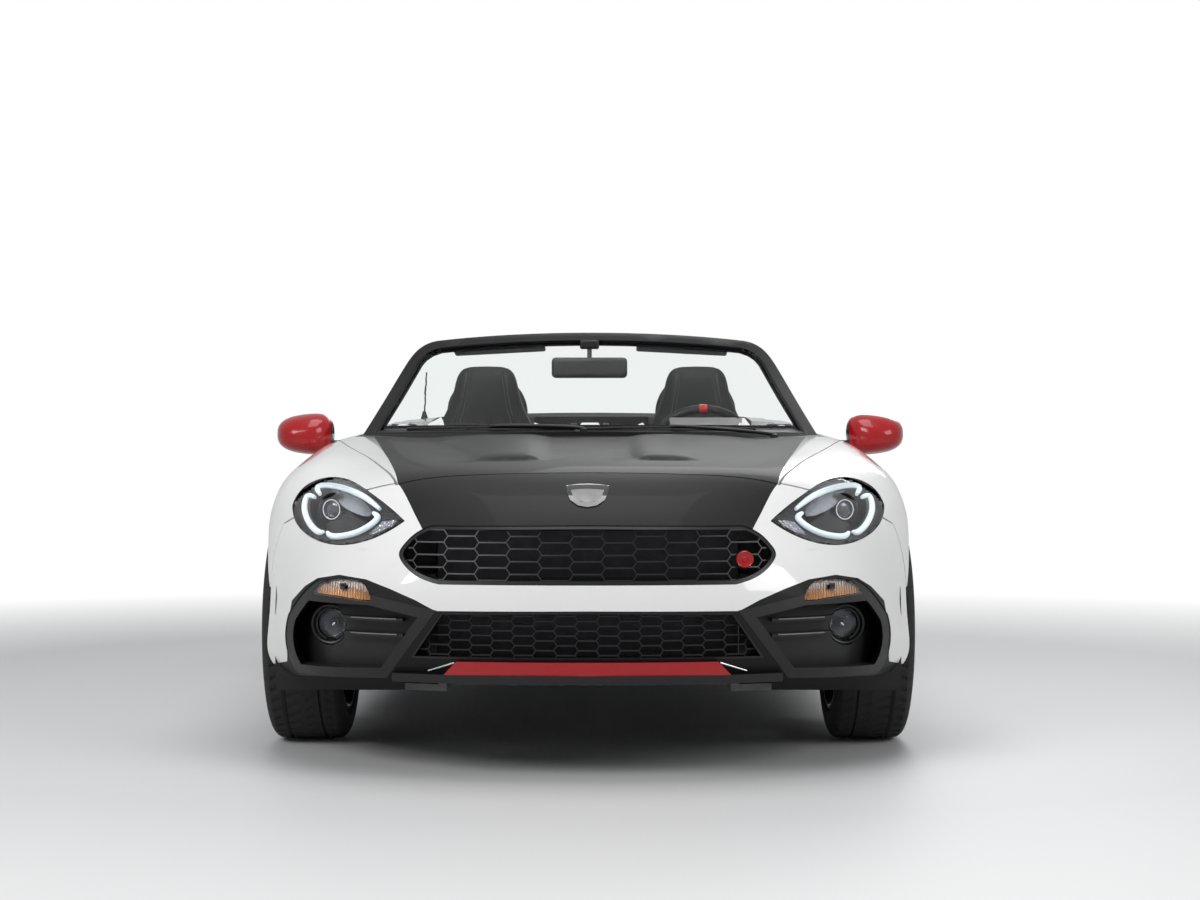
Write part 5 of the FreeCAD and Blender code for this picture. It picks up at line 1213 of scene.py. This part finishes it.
# Rows of a seat's pads: place (y, z), half width, half thickness, bolster
CUSHION = mm((-208, 338, 205, 20, 0), (-200, 345, 222, 45, 2), (-165, 338, 230, 56, 10),
             (-80, 330, 232, 58, 20), (60, 322, 232, 56, 24), (180, 314, 230, 54, 22),
             (270, 306, 224, 50, 10), (315, 300, 205, 30, 0))
BACKREST = mm((355, 345, 200, 30, 0), (362, 375, 224, 60, 6), (376, 430, 230, 64, 20),
              (405, 550, 231, 58, 34), (437, 680, 228, 53, 36), (462, 780, 214, 50, 26),
              (480, 845, 186, 46, 12), (494, 900, 152, 43, 4), (507, 960, 128, 42, 2),
              (519, 1020, 114, 40, 0), (526, 1062, 98, 33, 0), (529, 1083, 70, 18, 0))


def stuffed(stations, steps=64):
    """A closed pad lofted through its stations, with raised sides."""
    mesh = bmesh.new()
    rings = []
    count = len(stations)
    for index, (y, z, wide, thick, side) in enumerate(stations):
        before, after = stations[max(0, index - 1)], stations[min(count - 1, index + 1)]
        run = Vector((0, after[0] - before[0], after[1] - before[1])).normalized()
        up = Vector((1, 0, 0)).cross(run)
        ring = []
        for step in range(steps):
            turn = 2 * pi * step / steps
            a, b = cos(turn), sin(turn)
            across = math.copysign(abs(a) ** 0.62, a)
            over = math.copysign(abs(b) ** 0.62, b)
            outer = max(0.0, (abs(across) - 0.5) / 0.5)
            lift = side * outer ** 1.5 * (1.6 - 0.6 * abs(across)) if over > 0 else 0
            ring.append(mesh.verts.new(Vector((across * wide, y, z)) + up * (over * thick + lift)))
        rings.append(ring)
    for ring, after in zip(rings, rings[1:]):
        hooped(mesh, ring, after)
    mesh.faces.new(rings[0])
    mesh.faces.new(rings[-1])
    return from_mesh(mesh, "pad")


def swelled(piece, voxel, cap, pressure=4.0, frames=20):
    """Puffs a pad up like sewn cloth over foam."""
    applied(piece, "SUBSURF", levels=1, render_levels=1)
    applied(piece, "REMESH", mode="VOXEL", voxel_size=voxel, use_smooth_shade=True)
    rest = [vertex.co.copy() for vertex in piece.data.vertices]
    cloth = piece.modifiers.new("cloth", "CLOTH")
    cloth.settings.use_pressure = True
    cloth.settings.uniform_pressure_force = pressure
    cloth.settings.effector_weights.gravity = 0
    cloth.settings.quality = 4
    cloth.point_cache.frame_start, cloth.point_cache.frame_end = 1, frames
    scene = bpy.context.scene
    for step in range(1, frames + 1):
        scene.frame_set(step)
    only(piece)
    bpy.ops.object.modifier_apply(modifier=cloth.name)
    scene.frame_set(1)
    for vertex, start in zip(piece.data.vertices, rest):
        move = vertex.co - start
        if move.length > cap:
            vertex.co = start + move.normalized() * cap
    applied(piece, "SMOOTH", factor=0.5, iterations=3)
    return piece


def grooved(piece, lines, depth, width):
    """Presses seams into a pad along lines of points."""
    spots = []
    for line in lines:
        for here, there in zip(line, line[1:]):
            parts = max(1, int((there - here).length / 0.004))
            spots += [here.lerp(there, part / parts) for part in range(parts)]
    tree = KDTree(len(spots))
    for index, spot in enumerate(spots):
        tree.insert(spot, index)
    tree.balance()
    for vertex in piece.data.vertices:
        gap = tree.find(vertex.co)[2]
        if gap < width * 3:
            vertex.co -= vertex.normal * depth * math.exp(-(gap / width) ** 2)
    return piece


def stitched(lines, pitch=0.008, length=0.0045, lift=0.0):
    """Short threads along lines of points."""
    threads = []
    for line in lines:
        carry = 0.0
        for here, there in zip(line, line[1:]):
            span = (there - here).length
            if span < 1e-6:
                continue
            way = (there - here) / span
            place = carry
            while place + length < span:
                threads.append([here + way * place, here + way * (place + length / 2) ,
                                here + way * (place + length)])
                place += pitch
            carry = place - span if place > span else 0.0
    return threads


def runs(start, end, steps):
    """Even steps from one point to another."""
    return [tuple(a + (b - a) * step / steps for a, b in zip(start, end)) for step in range(steps + 1)]


class ROADSTER_OT_seats(bpy.types.Operator):
    """Sew both seats: cushions, backrests, pressed seams and stitches"""

    bl_idname = "roadster.seats"
    bl_label = "Seats"

    def execute(self, context):
        cushion = swelled(stuffed(CUSHION), 0.0065, 0.009)
        back = swelled(stuffed(BACKREST), 0.0065, 0.009)
        on_cushion, on_back = skin_of_piece(cushion), skin_of_piece(back)
        cushion_lines = [traced(on_cushion, runs((side * 0.135, -0.19), (side * 0.142, 0.27), 40),
                                "top") for side in SIDES]
        for y in (-0.13, -0.055, 0.02, 0.095, 0.17):
            cushion_lines.append(traced(on_cushion, runs((-0.138, y), (0.138, y), 30), "top"))
        back_lines = []
        for side in SIDES:
            back_lines.append(traced(on_back, side_seam(side), "front"))
        for z, wide in ((0.46, 0.139), (0.54, 0.143), (0.62, 0.143), (0.70, 0.139), (0.86, 0.098)):
            back_lines.append(traced(on_back, runs((-wide, z), (wide, z), 30), "front"))
        grooved(cushion, cushion_lines, 0.006, 0.006)
        grooved(back, back_lines, 0.006, 0.006)
        on_cushion, on_back = skin_of_piece(cushion), skin_of_piece(back)
        threads = []
        for side in SIDES:
            for shift in (-0.006, 0.006):
                threads += stitched([traced(on_cushion,
                                            runs((side * 0.135 + shift, -0.185),
                                                 (side * 0.142 + shift, 0.255), 60), "top", -0.0004)])
                line = [(x + shift, z) for x, z in side_seam(side)]
                threads += stitched([traced(on_back, line, "front", -0.0004)])
        stitch = wires(threads, 0.0007, 4)
        shell = seat_base()
        for name, x in (("left", SEAT_X), ("right", -SEAT_X)):
            for kind, source in (("cushion", cushion), ("backrest", back), ("stitching", stitch),
                                 ("shell", shell)):
                piece = placed(source.data.copy(), f"seat_{name}_{kind}")
                piece.data.transform(Matrix.Translation((x, 0, 0)))
                if kind in ("cushion", "backrest"):
                    applied(piece, "SUBSURF", levels=1, render_levels=1)
                    softened(piece, 180)
                paint = {"stitching": "thread", "shell": "black_grain"}.get(kind, "leather")
                nodes = [f"seat_{name}"] if kind == "backrest" else ()
                dressed(piece, piece.name, paint, nodes=nodes)
                kind in ("cushion", "backrest")
        for piece in (cushion, back, stitch, shell):
            bpy.data.objects.remove(piece)
        return {"FINISHED"}


def side_seam(side):
    """The seam between a backrest's middle and its side."""
    curve = mm((138, 400), (145, 500), (146, 600), (142, 700), (128, 780), (104, 850), (82, 920), (70, 980),
               (62, 1050))
    path = []
    for here, there in zip(curve, curve[1:]):
        path += runs((side * here[0], here[1]), (side * there[0], there[1]), 6)
    return path


def seat_base():
    """The seat's base, side covers and rails."""
    base = block((0.42, 0.44, 0.075), (0, 0.05, 0.262), 0.02)
    covers = []
    for side in SIDES:
        covers.append(block((0.028, 0.40, 0.10), (side * 0.222, 0.09, 0.262), 0.012))
        covers.append(block((0.04, 0.46, 0.035), (side * 0.17, 0.07, 0.205), 0.006))
        covers.append(block((0.05, 0.44, 0.02), (side * 0.17, 0.07, 0.180), 0.004))
    covers += [block((0.022, 0.08, 0.07), (side * 0.232, 0.30, 0.33), 0.01) for side in SIDES]
    covers.append(block((0.36, 0.02, 0.42), (0, 0.492, 0.62), 0.009, tilted(-14)))
    return joined([base] + covers)


WHEEL_PLACE = (Matrix.Translation((0.365, 0.058, 0.758)) @ Matrix.Rotation(radians(-65), 4, "X")
               @ Matrix.Rotation(pi, 4, "Z"))


def on_wheel(piece):
    """Takes a piece from the drawing of the steering wheel to its place."""
    piece.data.transform(WHEEL_PLACE)
    return piece


def arc(radius, start, end, steps, height=0.0):
    """Points of an arc on the steering wheel's drawing."""
    turns = [radians(start + (end - start) * step / steps) for step in range(steps + 1)]
    return [Vector((radius * cos(a), radius * sin(a), height)) for a in turns]


class ROADSTER_OT_steering(bpy.types.Operator):
    """Model the steering wheel"""

    bl_idname = "roadster.steering"
    bl_label = "Steering wheel"

    def execute(self, context):
        bpy.ops.object.select_all(action="DESELECT")
        bpy.ops.mesh.primitive_torus_add(major_radius=0.172, minor_radius=0.0142, major_segments=120,
                                         minor_segments=20)
        rim = softened(settled(context.active_object), 80)
        dressed(on_wheel(rim), "steering_rim", "leather", body="steering_wheel", nodes=["steering_wheel"])
        marker = wire(arc(0.172, 86, 94, 6), 0.0149, sides=20)
        dressed(on_wheel(marker), "steering_marker", "accent_red", body="steering_wheel")
        threads = stitched([arc(0.1578, 0, 360, 180, 0.001)], 0.007, 0.0048)
        dressed(on_wheel(wires(threads, 0.0007, 4)), "steering_stitching", "thread", body="steering_wheel")
        pad = block((0.148, 0.112, 0.046), (0, 0.002, 0.000), 0.022, segments=6)
        skirt = block((0.11, 0.08, 0.03), (0, -0.002, -0.022), 0.012)
        dressed(on_wheel(joined([pad, skirt])), "steering_pad", "soft_dash", body="steering_wheel")
        spokes = []
        for angle in (-8, 188, 270):
            spoke = block((0.10, 0.036, 0.014), (0, 0, 0), 0.006)
            spoke.data.transform(Matrix.Rotation(radians(angle), 4,
                                                 "Z") @ Matrix.Translation((0.115, 0, -0.003)))
            spokes.append(spoke)
        dressed(on_wheel(joined(spokes)), "steering_spokes", "dark_alloy", body="steering_wheel")
        badge = spun(mm((20, 0.1), (20, 20), (24.5, 19.5), (25.5, 17), (24.5, 0.1)), (0, 0.004, 0), UP)
        dressed(on_wheel(badge), "steering_centre", "gloss_black", body="steering_wheel")
        keys = []
        for side in SIDES:
            for y in (0.0, -0.022):
                keys.append(block((0.022, 0.014, 0.008), (side * 0.088, y, 0.006), 0.003))
        dressed(on_wheel(joined(keys)), "steering_keys", "black_satin", body="steering_wheel")
        return {"FINISHED"}


class ROADSTER_OT_cabin(bpy.types.Operator):
    """Model the dashboard, console, pedals, door cards and mats"""

    bl_idname = "roadster.cabin"
    bl_label = "Cabin"

    def execute(self, context):
        dash = skin_of("dashboard")
        vents, slats = [], []
        for x, z in ((-0.56, 0.755), (-0.085, 0.755), (0.085, 0.755), (0.56, 0.755)):
            base = on_skin(dash, x, z, "rear")
            way = (0, 1, 0.14)
            vents.append(spun(mm((-10, 44), (6, 43), (9, 40), (8, 36), (0, 33), (-12, 32)), base, way))
            slats.append(spun(mm((-12, 0.1), (-12, 33), (-1, 33), (-1, 0.1)), base, way))
            for step in (-2, -1, 0, 1, 2):
                wide = 2 * math.sqrt(0.031 ** 2 - (step * 0.011) ** 2)
                slats.append(block((wide, 0.008, 0.0022), base + Vector((0, 0.003, step * 0.011)), 0.0008,
                                   tilted(-20), 2))
        dressed(vents, "vent_rings", "dark_alloy")
        dressed(slats, "vent_slats", "black_satin")
        towers = [block((0.088, 0.092, 0.34), (side * 0.656, 0.554, 0.702), 0.008) for side in SIDES]
        dressed(towers, "belt_towers", "soft_dash")
        rings, dials, marks, hands = [], [], [], []
        for x, radius, turn in ((0.365, 0.036, 130), (0.288, 0.028, 200), (0.442, 0.028, 160)):
            base = Vector((x, -0.1000, 0.829))
            way = Vector((0, 1, 0.06))
            rings.append(spun([(0, radius), (0.004, radius), (0.006, radius - 0.0015),
                               (0.003, radius - 0.004), (0, radius - 0.004)], base, way))
            dials.append(spun([(-0.001, 0.0001), (-0.001, radius - 0.002), (0.0012, radius - 0.002),
                               (0.0012, 0.0001)], base, way))
            for step in range(11):
                angle = radians(-45 + 27 * step)
                out = Vector((cos(angle), 0, sin(angle)))
                marks.append([base + out * (radius * share) + Vector((0, 0.0018, 0))
                              for share in (0.70, 0.76, 0.83)])
            out = Vector((cos(radians(turn)), 0, sin(radians(turn))))
            hands.append([base + out * (radius * share) + Vector((0, 0.0028, 0))
                          for share in (-0.12, 0.3, 0.72)])
        dressed(rings, "gauge_rings", "chrome")
        dressed(dials, "gauge_dials", "gloss_black")
        dressed(wires(marks, 0.0005, 4), "gauge_marks", "thread")
        dressed(wires(hands, 0.0009, 4), "gauge_hands", "accent_red")
        screen = block((0.176, 0.016, 0.104), (0, -0.152, 0.815), 0.006, tilted(-8))
        dressed(screen, "screen_housing", "black_satin")
        face = block((0.156, 0.003, 0.086), (0, -0.1435, 0.816), 0.001, tilted(-8))
        dressed(face, "screen_face", "gloss_black")
        knobs, collars = [], []
        for x in (-0.075, 0.0, 0.075):
            base = on_skin(dash, x, 0.672, "rear")
            knobs.append(spun(mm((-4, 0.1), (-4, 21), (16, 19), (19, 16), (19, 0.1)), base, (0, 1, -0.2)))
            collars.append(spun(mm((-4, 27), (3, 27), (4, 25), (3, 22), (-4, 22)), base, (0, 1, -0.2)))
        dressed(knobs, "climate_knobs", "black_satin")
        dressed(collars, "climate_collars", "dark_alloy")
        lid = ribbon(ellipse((-0.365, 0.70), 0.165, 0.055, 7), dash, -0.0008, 0.002, 0.0025, "rear", 0.012)
        dressed(lid, "glovebox_gap", "gloss_black")
        strip = patch(mm((-615, 806), (235, 806), (235, 790), (-615, 790)), dash, -0.002, 0.003, "rear",
                      0.012)
        dressed(strip, "dash_strip", "dark_alloy")
        boot = spun(mm((-10, 0.1), (-10, 52), (4, 50), (20, 38), (45, 24), (70, 13.5), (74, 0.1)),
                    (0, 0.06, 0.428), UP, 36)
        for vertex in boot.data.vertices:
            height = vertex.co.z - 0.43
            if 0 < height < 0.07:
                turn = math.atan2(vertex.co.y - 0.06, vertex.co.x)
                swell = 1 + 0.05 * sin(turn * 4 + height * 160) * sin(pi * height / 0.07)
                vertex.co.x *= swell
                vertex.co.y = 0.06 + (vertex.co.y - 0.06) * swell
        dressed(boot, "lever_boot", "leather")
        collar = spun(mm((0, 62), (4, 62), (6, 58), (4, 51), (0, 51)), (0, 0.06, 0.4275), UP, 48)
        knob = spun(mm((0, 0.1), (0, 12), (12, 14.5), (28, 23.5), (45, 26.2), (58, 22), (66, 12),
                       (68, 0.1)),
                    (0, 0.06, 0.488), UP, 36)
        dressed(collar, "lever_collar", "dark_alloy")
        dressed(knob, "lever_knob", "leather")
        cups = [spun(mm((-4, 42), (4, 42), (6, 39.5), (4, 36), (-4, 36)),
                     (-0.035, y, 0.432 + (y - 0.33) * 0.26), (0, -0.25, 1)) for y in (0.36, 0.455)]
        dressed(cups, "cup_rings", "dark_alloy")
        pedals = []
        for x, z, size in ((0.255, 0.275, (0.06, 0.012, 0.055)), (0.345, 0.275, (0.06, 0.012, 0.055)),
                           (0.44, 0.255, (0.045, 0.012, 0.115))):
            pedals.append(block(size, (x, -0.478, z), 0.004, tilted(28)))
            pedals.append(wire([(x, -0.484, z), (x, -0.52, z + 0.11), (x, -0.53, 0.56)], 0.008))
        dressed(pedals, "pedals", "bright_metal")
        mats = [block((0.35, 0.50, 0.008), (side * 0.37, -0.30, 0.1725), 0.003) for side in SIDES]
        dressed(mats, "floor_mats", "carpet")
        for side, way in WAYS.items():
            card = block((0.009, 0.88, 0.47), (way * 0.6945, 0.045, 0.548), 0.004)
            rest = block((0.046, 0.36, 0.05), (way * 0.672, 0.09, 0.600), 0.018, segments=5)
            bow = mm((688, -270, 600), (652, -250, 630), (650, -120, 655), (688, -100, 660))
            pull = wire([(way * x, y, z) for x, y, z in bow], 0.011)
            dressed([card, rest], f"door_{side}_card", "soft_dash", body=f"door_{side}")
            dressed(pull, f"door_{side}_pull", "dark_alloy", body=f"door_{side}")
            ring = spun(mm((0, 78), (4, 78), (6, 74), (3, 70), (0, 0.1)), (way * 0.6900, -0.29, 0.43),
                        (-way, 0, 0))
            dressed(ring, f"door_{side}_speaker", "speaker_mesh", body=f"door_{side}")
        return {"FINISHED"}


class ROADSTER_OT_roof(bpy.types.Operator):
    """Fold the soft top into its well"""

    bl_idname = "roadster.roof"
    bl_label = "Folded soft top"

    def execute(self, context):
        skin = skin_of("soft_top")
        deck = patch(ellipse((0, 0.815), 0.552, 0.186, 7, 48), skin, 0.004, 0.15, "top", 0.02)
        swelled(deck, 0.009, 0.008, 2.0, 14)
        on_deck = skin_of_piece(deck)
        lines = [traced(on_deck, runs((-0.545, y), (0.545, y), 60), "top") for y in (0.70, 0.93)]
        lines += [traced(on_deck, runs((x, 0.64), (x, 0.99), 24), "top") for x in (-0.33, 0.33)]
        grooved(deck, lines, 0.005, 0.008)
        on_deck = skin_of_piece(deck)
        threads = []
        for y in (0.70, 0.93):
            for shift in (-0.008, 0.008):
                threads += stitched([traced(on_deck, runs((-0.54, y + shift), (0.54, y + shift), 80), "top",
                                            -0.0005)], 0.01, 0.006)
        softened(deck, 180)
        dressed(deck, "soft_top_folded", "roof_cloth", nodes=["soft_top"])
        dressed(wires(threads, 0.0008, 4), "soft_top_stitching", "black_satin")
        return {"FINISHED"}


AXLE_HEIGHT = 0.308
LINER_WALL = 0.003


class ROADSTER_OT_liners(bpy.types.Operator):
    """Line the wheel openings"""

    bl_idname = "roadster.liners"
    bl_label = "Wheel arch liners"

    def execute(self, context):
        for name, axle, first, last, radius in (("front", -1.168, 0.47, 0.800, 0.3745),
                                                ("rear", 1.142, 0.60, 0.812, 0.3525)):
            centre = Vector(((first + last) / 2, axle, AXLE_HEIGHT))
            liner = arch(centre, (radius, radius + LINER_WALL), range(-22, 203, 4), last - first)
            dressed(softened(pair(liner)), f"{name}_arch_liners", "black_grain")
        return {"FINISHED"}


# Stage, panel and run

GLOSS_SHARE = 0.4
FLOOR_FADE = (2.5, 5.2)
CAMERA = (0.030, -7.168, 0.782)
LENS = 66.06
LAMPS = (  # name, place, point it shines at, size, power
    ("key", (-3.4, -5.5, 4.0), (0, -1, 0.5), (3.5, 2.2), 185),
    ("fill", (4.4, -4.4, 3.2), (0, -1, 0.5), (3.0, 2.4), 105),
    ("top", (0, -1.2, 4.4), (0, -1.0, 0), (2.6, 3.4), 85),
    ("back", (1.5, 5.5, 3.6), (0, 1.5, 0.6), (4.0, 2.0), 95),
)


def looked_at(tree):
    """1 for rays from the camera and through glass, a share for rays off gloss, else 0."""
    ray = tree.nodes.new("ShaderNodeLightPath")
    camera, gloss, glass = (Field(tree, ray.outputs[name])
                            for name in ("Is Camera Ray", "Is Glossy Ray", "Is Transmission Ray"))
    return camera.maths("MAXIMUM", camera.maths("MAXIMUM", camera, gloss * GLOSS_SHARE), glass)


class ROADSTER_OT_stage(bpy.types.Operator):
    """Set the floor, the lamps and the camera"""

    bl_idname = "roadster.stage"
    bl_label = "Stage"

    def execute(self, context):
        bpy.ops.object.select_all(action="DESELECT")
        bpy.ops.mesh.primitive_circle_add(vertices=128, radius=40, fill_type="NGON", location=(0, 0, 0))
        floor = context.active_object
        floor.name = "studio_floor"
        ground = Finish("studio_floor", (0.66, 0.66, 0.66), 0.5)
        floor.data.materials.append(ground.material)
        away = (ground.x * ground.x + ground.y * ground.y).root()
        tree = ground.tree
        bright = away.node("ShaderNodeEmission", {}, {"Color": (1, 1, 1, 1), "Strength": 1.0})
        share = away.within(*FLOOR_FADE) * looked_at(tree)
        both = away.node("ShaderNodeMixShader", {},
                         {0: share, 1: Field(tree, ground.shader.outputs[0]), 2: bright})
        out = next(item for item in tree.nodes if item.type == "OUTPUT_MATERIAL")
        tree.links.new(both.socket, out.inputs[0])
        world = bpy.data.worlds.new("studio")
        context.scene.world = world
        world.use_nodes = True
        tree = world.node_tree
        tree.nodes.clear()
        field = Field(tree, None)
        seen = looked_at(tree)
        soft = field.node("ShaderNodeBackground", {}, {"Color": (0.92, 0.95, 1, 1), "Strength": 0.28})
        plain = field.node("ShaderNodeBackground", {}, {"Color": (1, 1, 1, 1), "Strength": 1.0})
        both = field.node("ShaderNodeMixShader", {}, {0: seen, 1: soft, 2: plain})
        out = tree.nodes.new("ShaderNodeOutputWorld")
        tree.links.new(both.socket, out.inputs[0])
        for name, place, aim, span, power in LAMPS:
            bpy.ops.object.light_add(type="AREA", location=place)
            lamp = context.active_object
            lamp.name = f"lamp_{name}"
            lamp.data.shape = "RECTANGLE"
            lamp.data.size, lamp.data.size_y = span
            lamp.data.energy = power
            lamp.rotation_euler = (Vector(aim) - Vector(place)).to_track_quat("-Z", "Y").to_euler()
        bpy.ops.object.camera_add(location=CAMERA, rotation=(pi / 2, 0, 0))
        camera = context.active_object
        camera.data.lens = LENS
        camera.data.sensor_width = 36
        context.scene.camera = camera
        context.scene.view_settings.view_transform = "Standard"
        return {"FINISHED"}


class ROADSTER_PT_panel(bpy.types.Panel):
    """The roadster's tools"""

    bl_label = "Roadster"
    bl_idname = "ROADSTER_PT_panel"
    bl_space_type = "VIEW_3D"
    bl_region_type = "UI"
    bl_category = "Roadster"

    def draw(self, context):
        for step in STEPS:
            self.layout.operator(step.bl_idname)


STEPS = (
    ROADSTER_OT_panels, ROADSTER_OT_headlamps, ROADSTER_OT_intakes, ROADSTER_OT_tail_lamps,
    ROADSTER_OT_wheels,
    ROADSTER_OT_brakes, ROADSTER_OT_engine, ROADSTER_OT_screen, ROADSTER_OT_trim, ROADSTER_OT_seats,
    ROADSTER_OT_steering, ROADSTER_OT_cabin, ROADSTER_OT_roof,
    ROADSTER_OT_liners, ROADSTER_OT_stage,
)
CLASSES = (RoadsterSizes, *STEPS, ROADSTER_PT_panel)


def register():
    for item in CLASSES:
        bpy.utils.register_class(item)
    bpy.types.Scene.roadster_sizes = bpy.props.PointerProperty(type=RoadsterSizes)


def unregister():
    del bpy.types.Scene.roadster_sizes
    for item in reversed(CLASSES):
        bpy.utils.unregister_class(item)


def main():
    """Dresses the car step by step."""
    register()
    for step in STEPS:
        group, name = step.bl_idname.split(".")
        getattr(getattr(bpy.ops, group), name)()


if __name__ == "__main__":
    main()
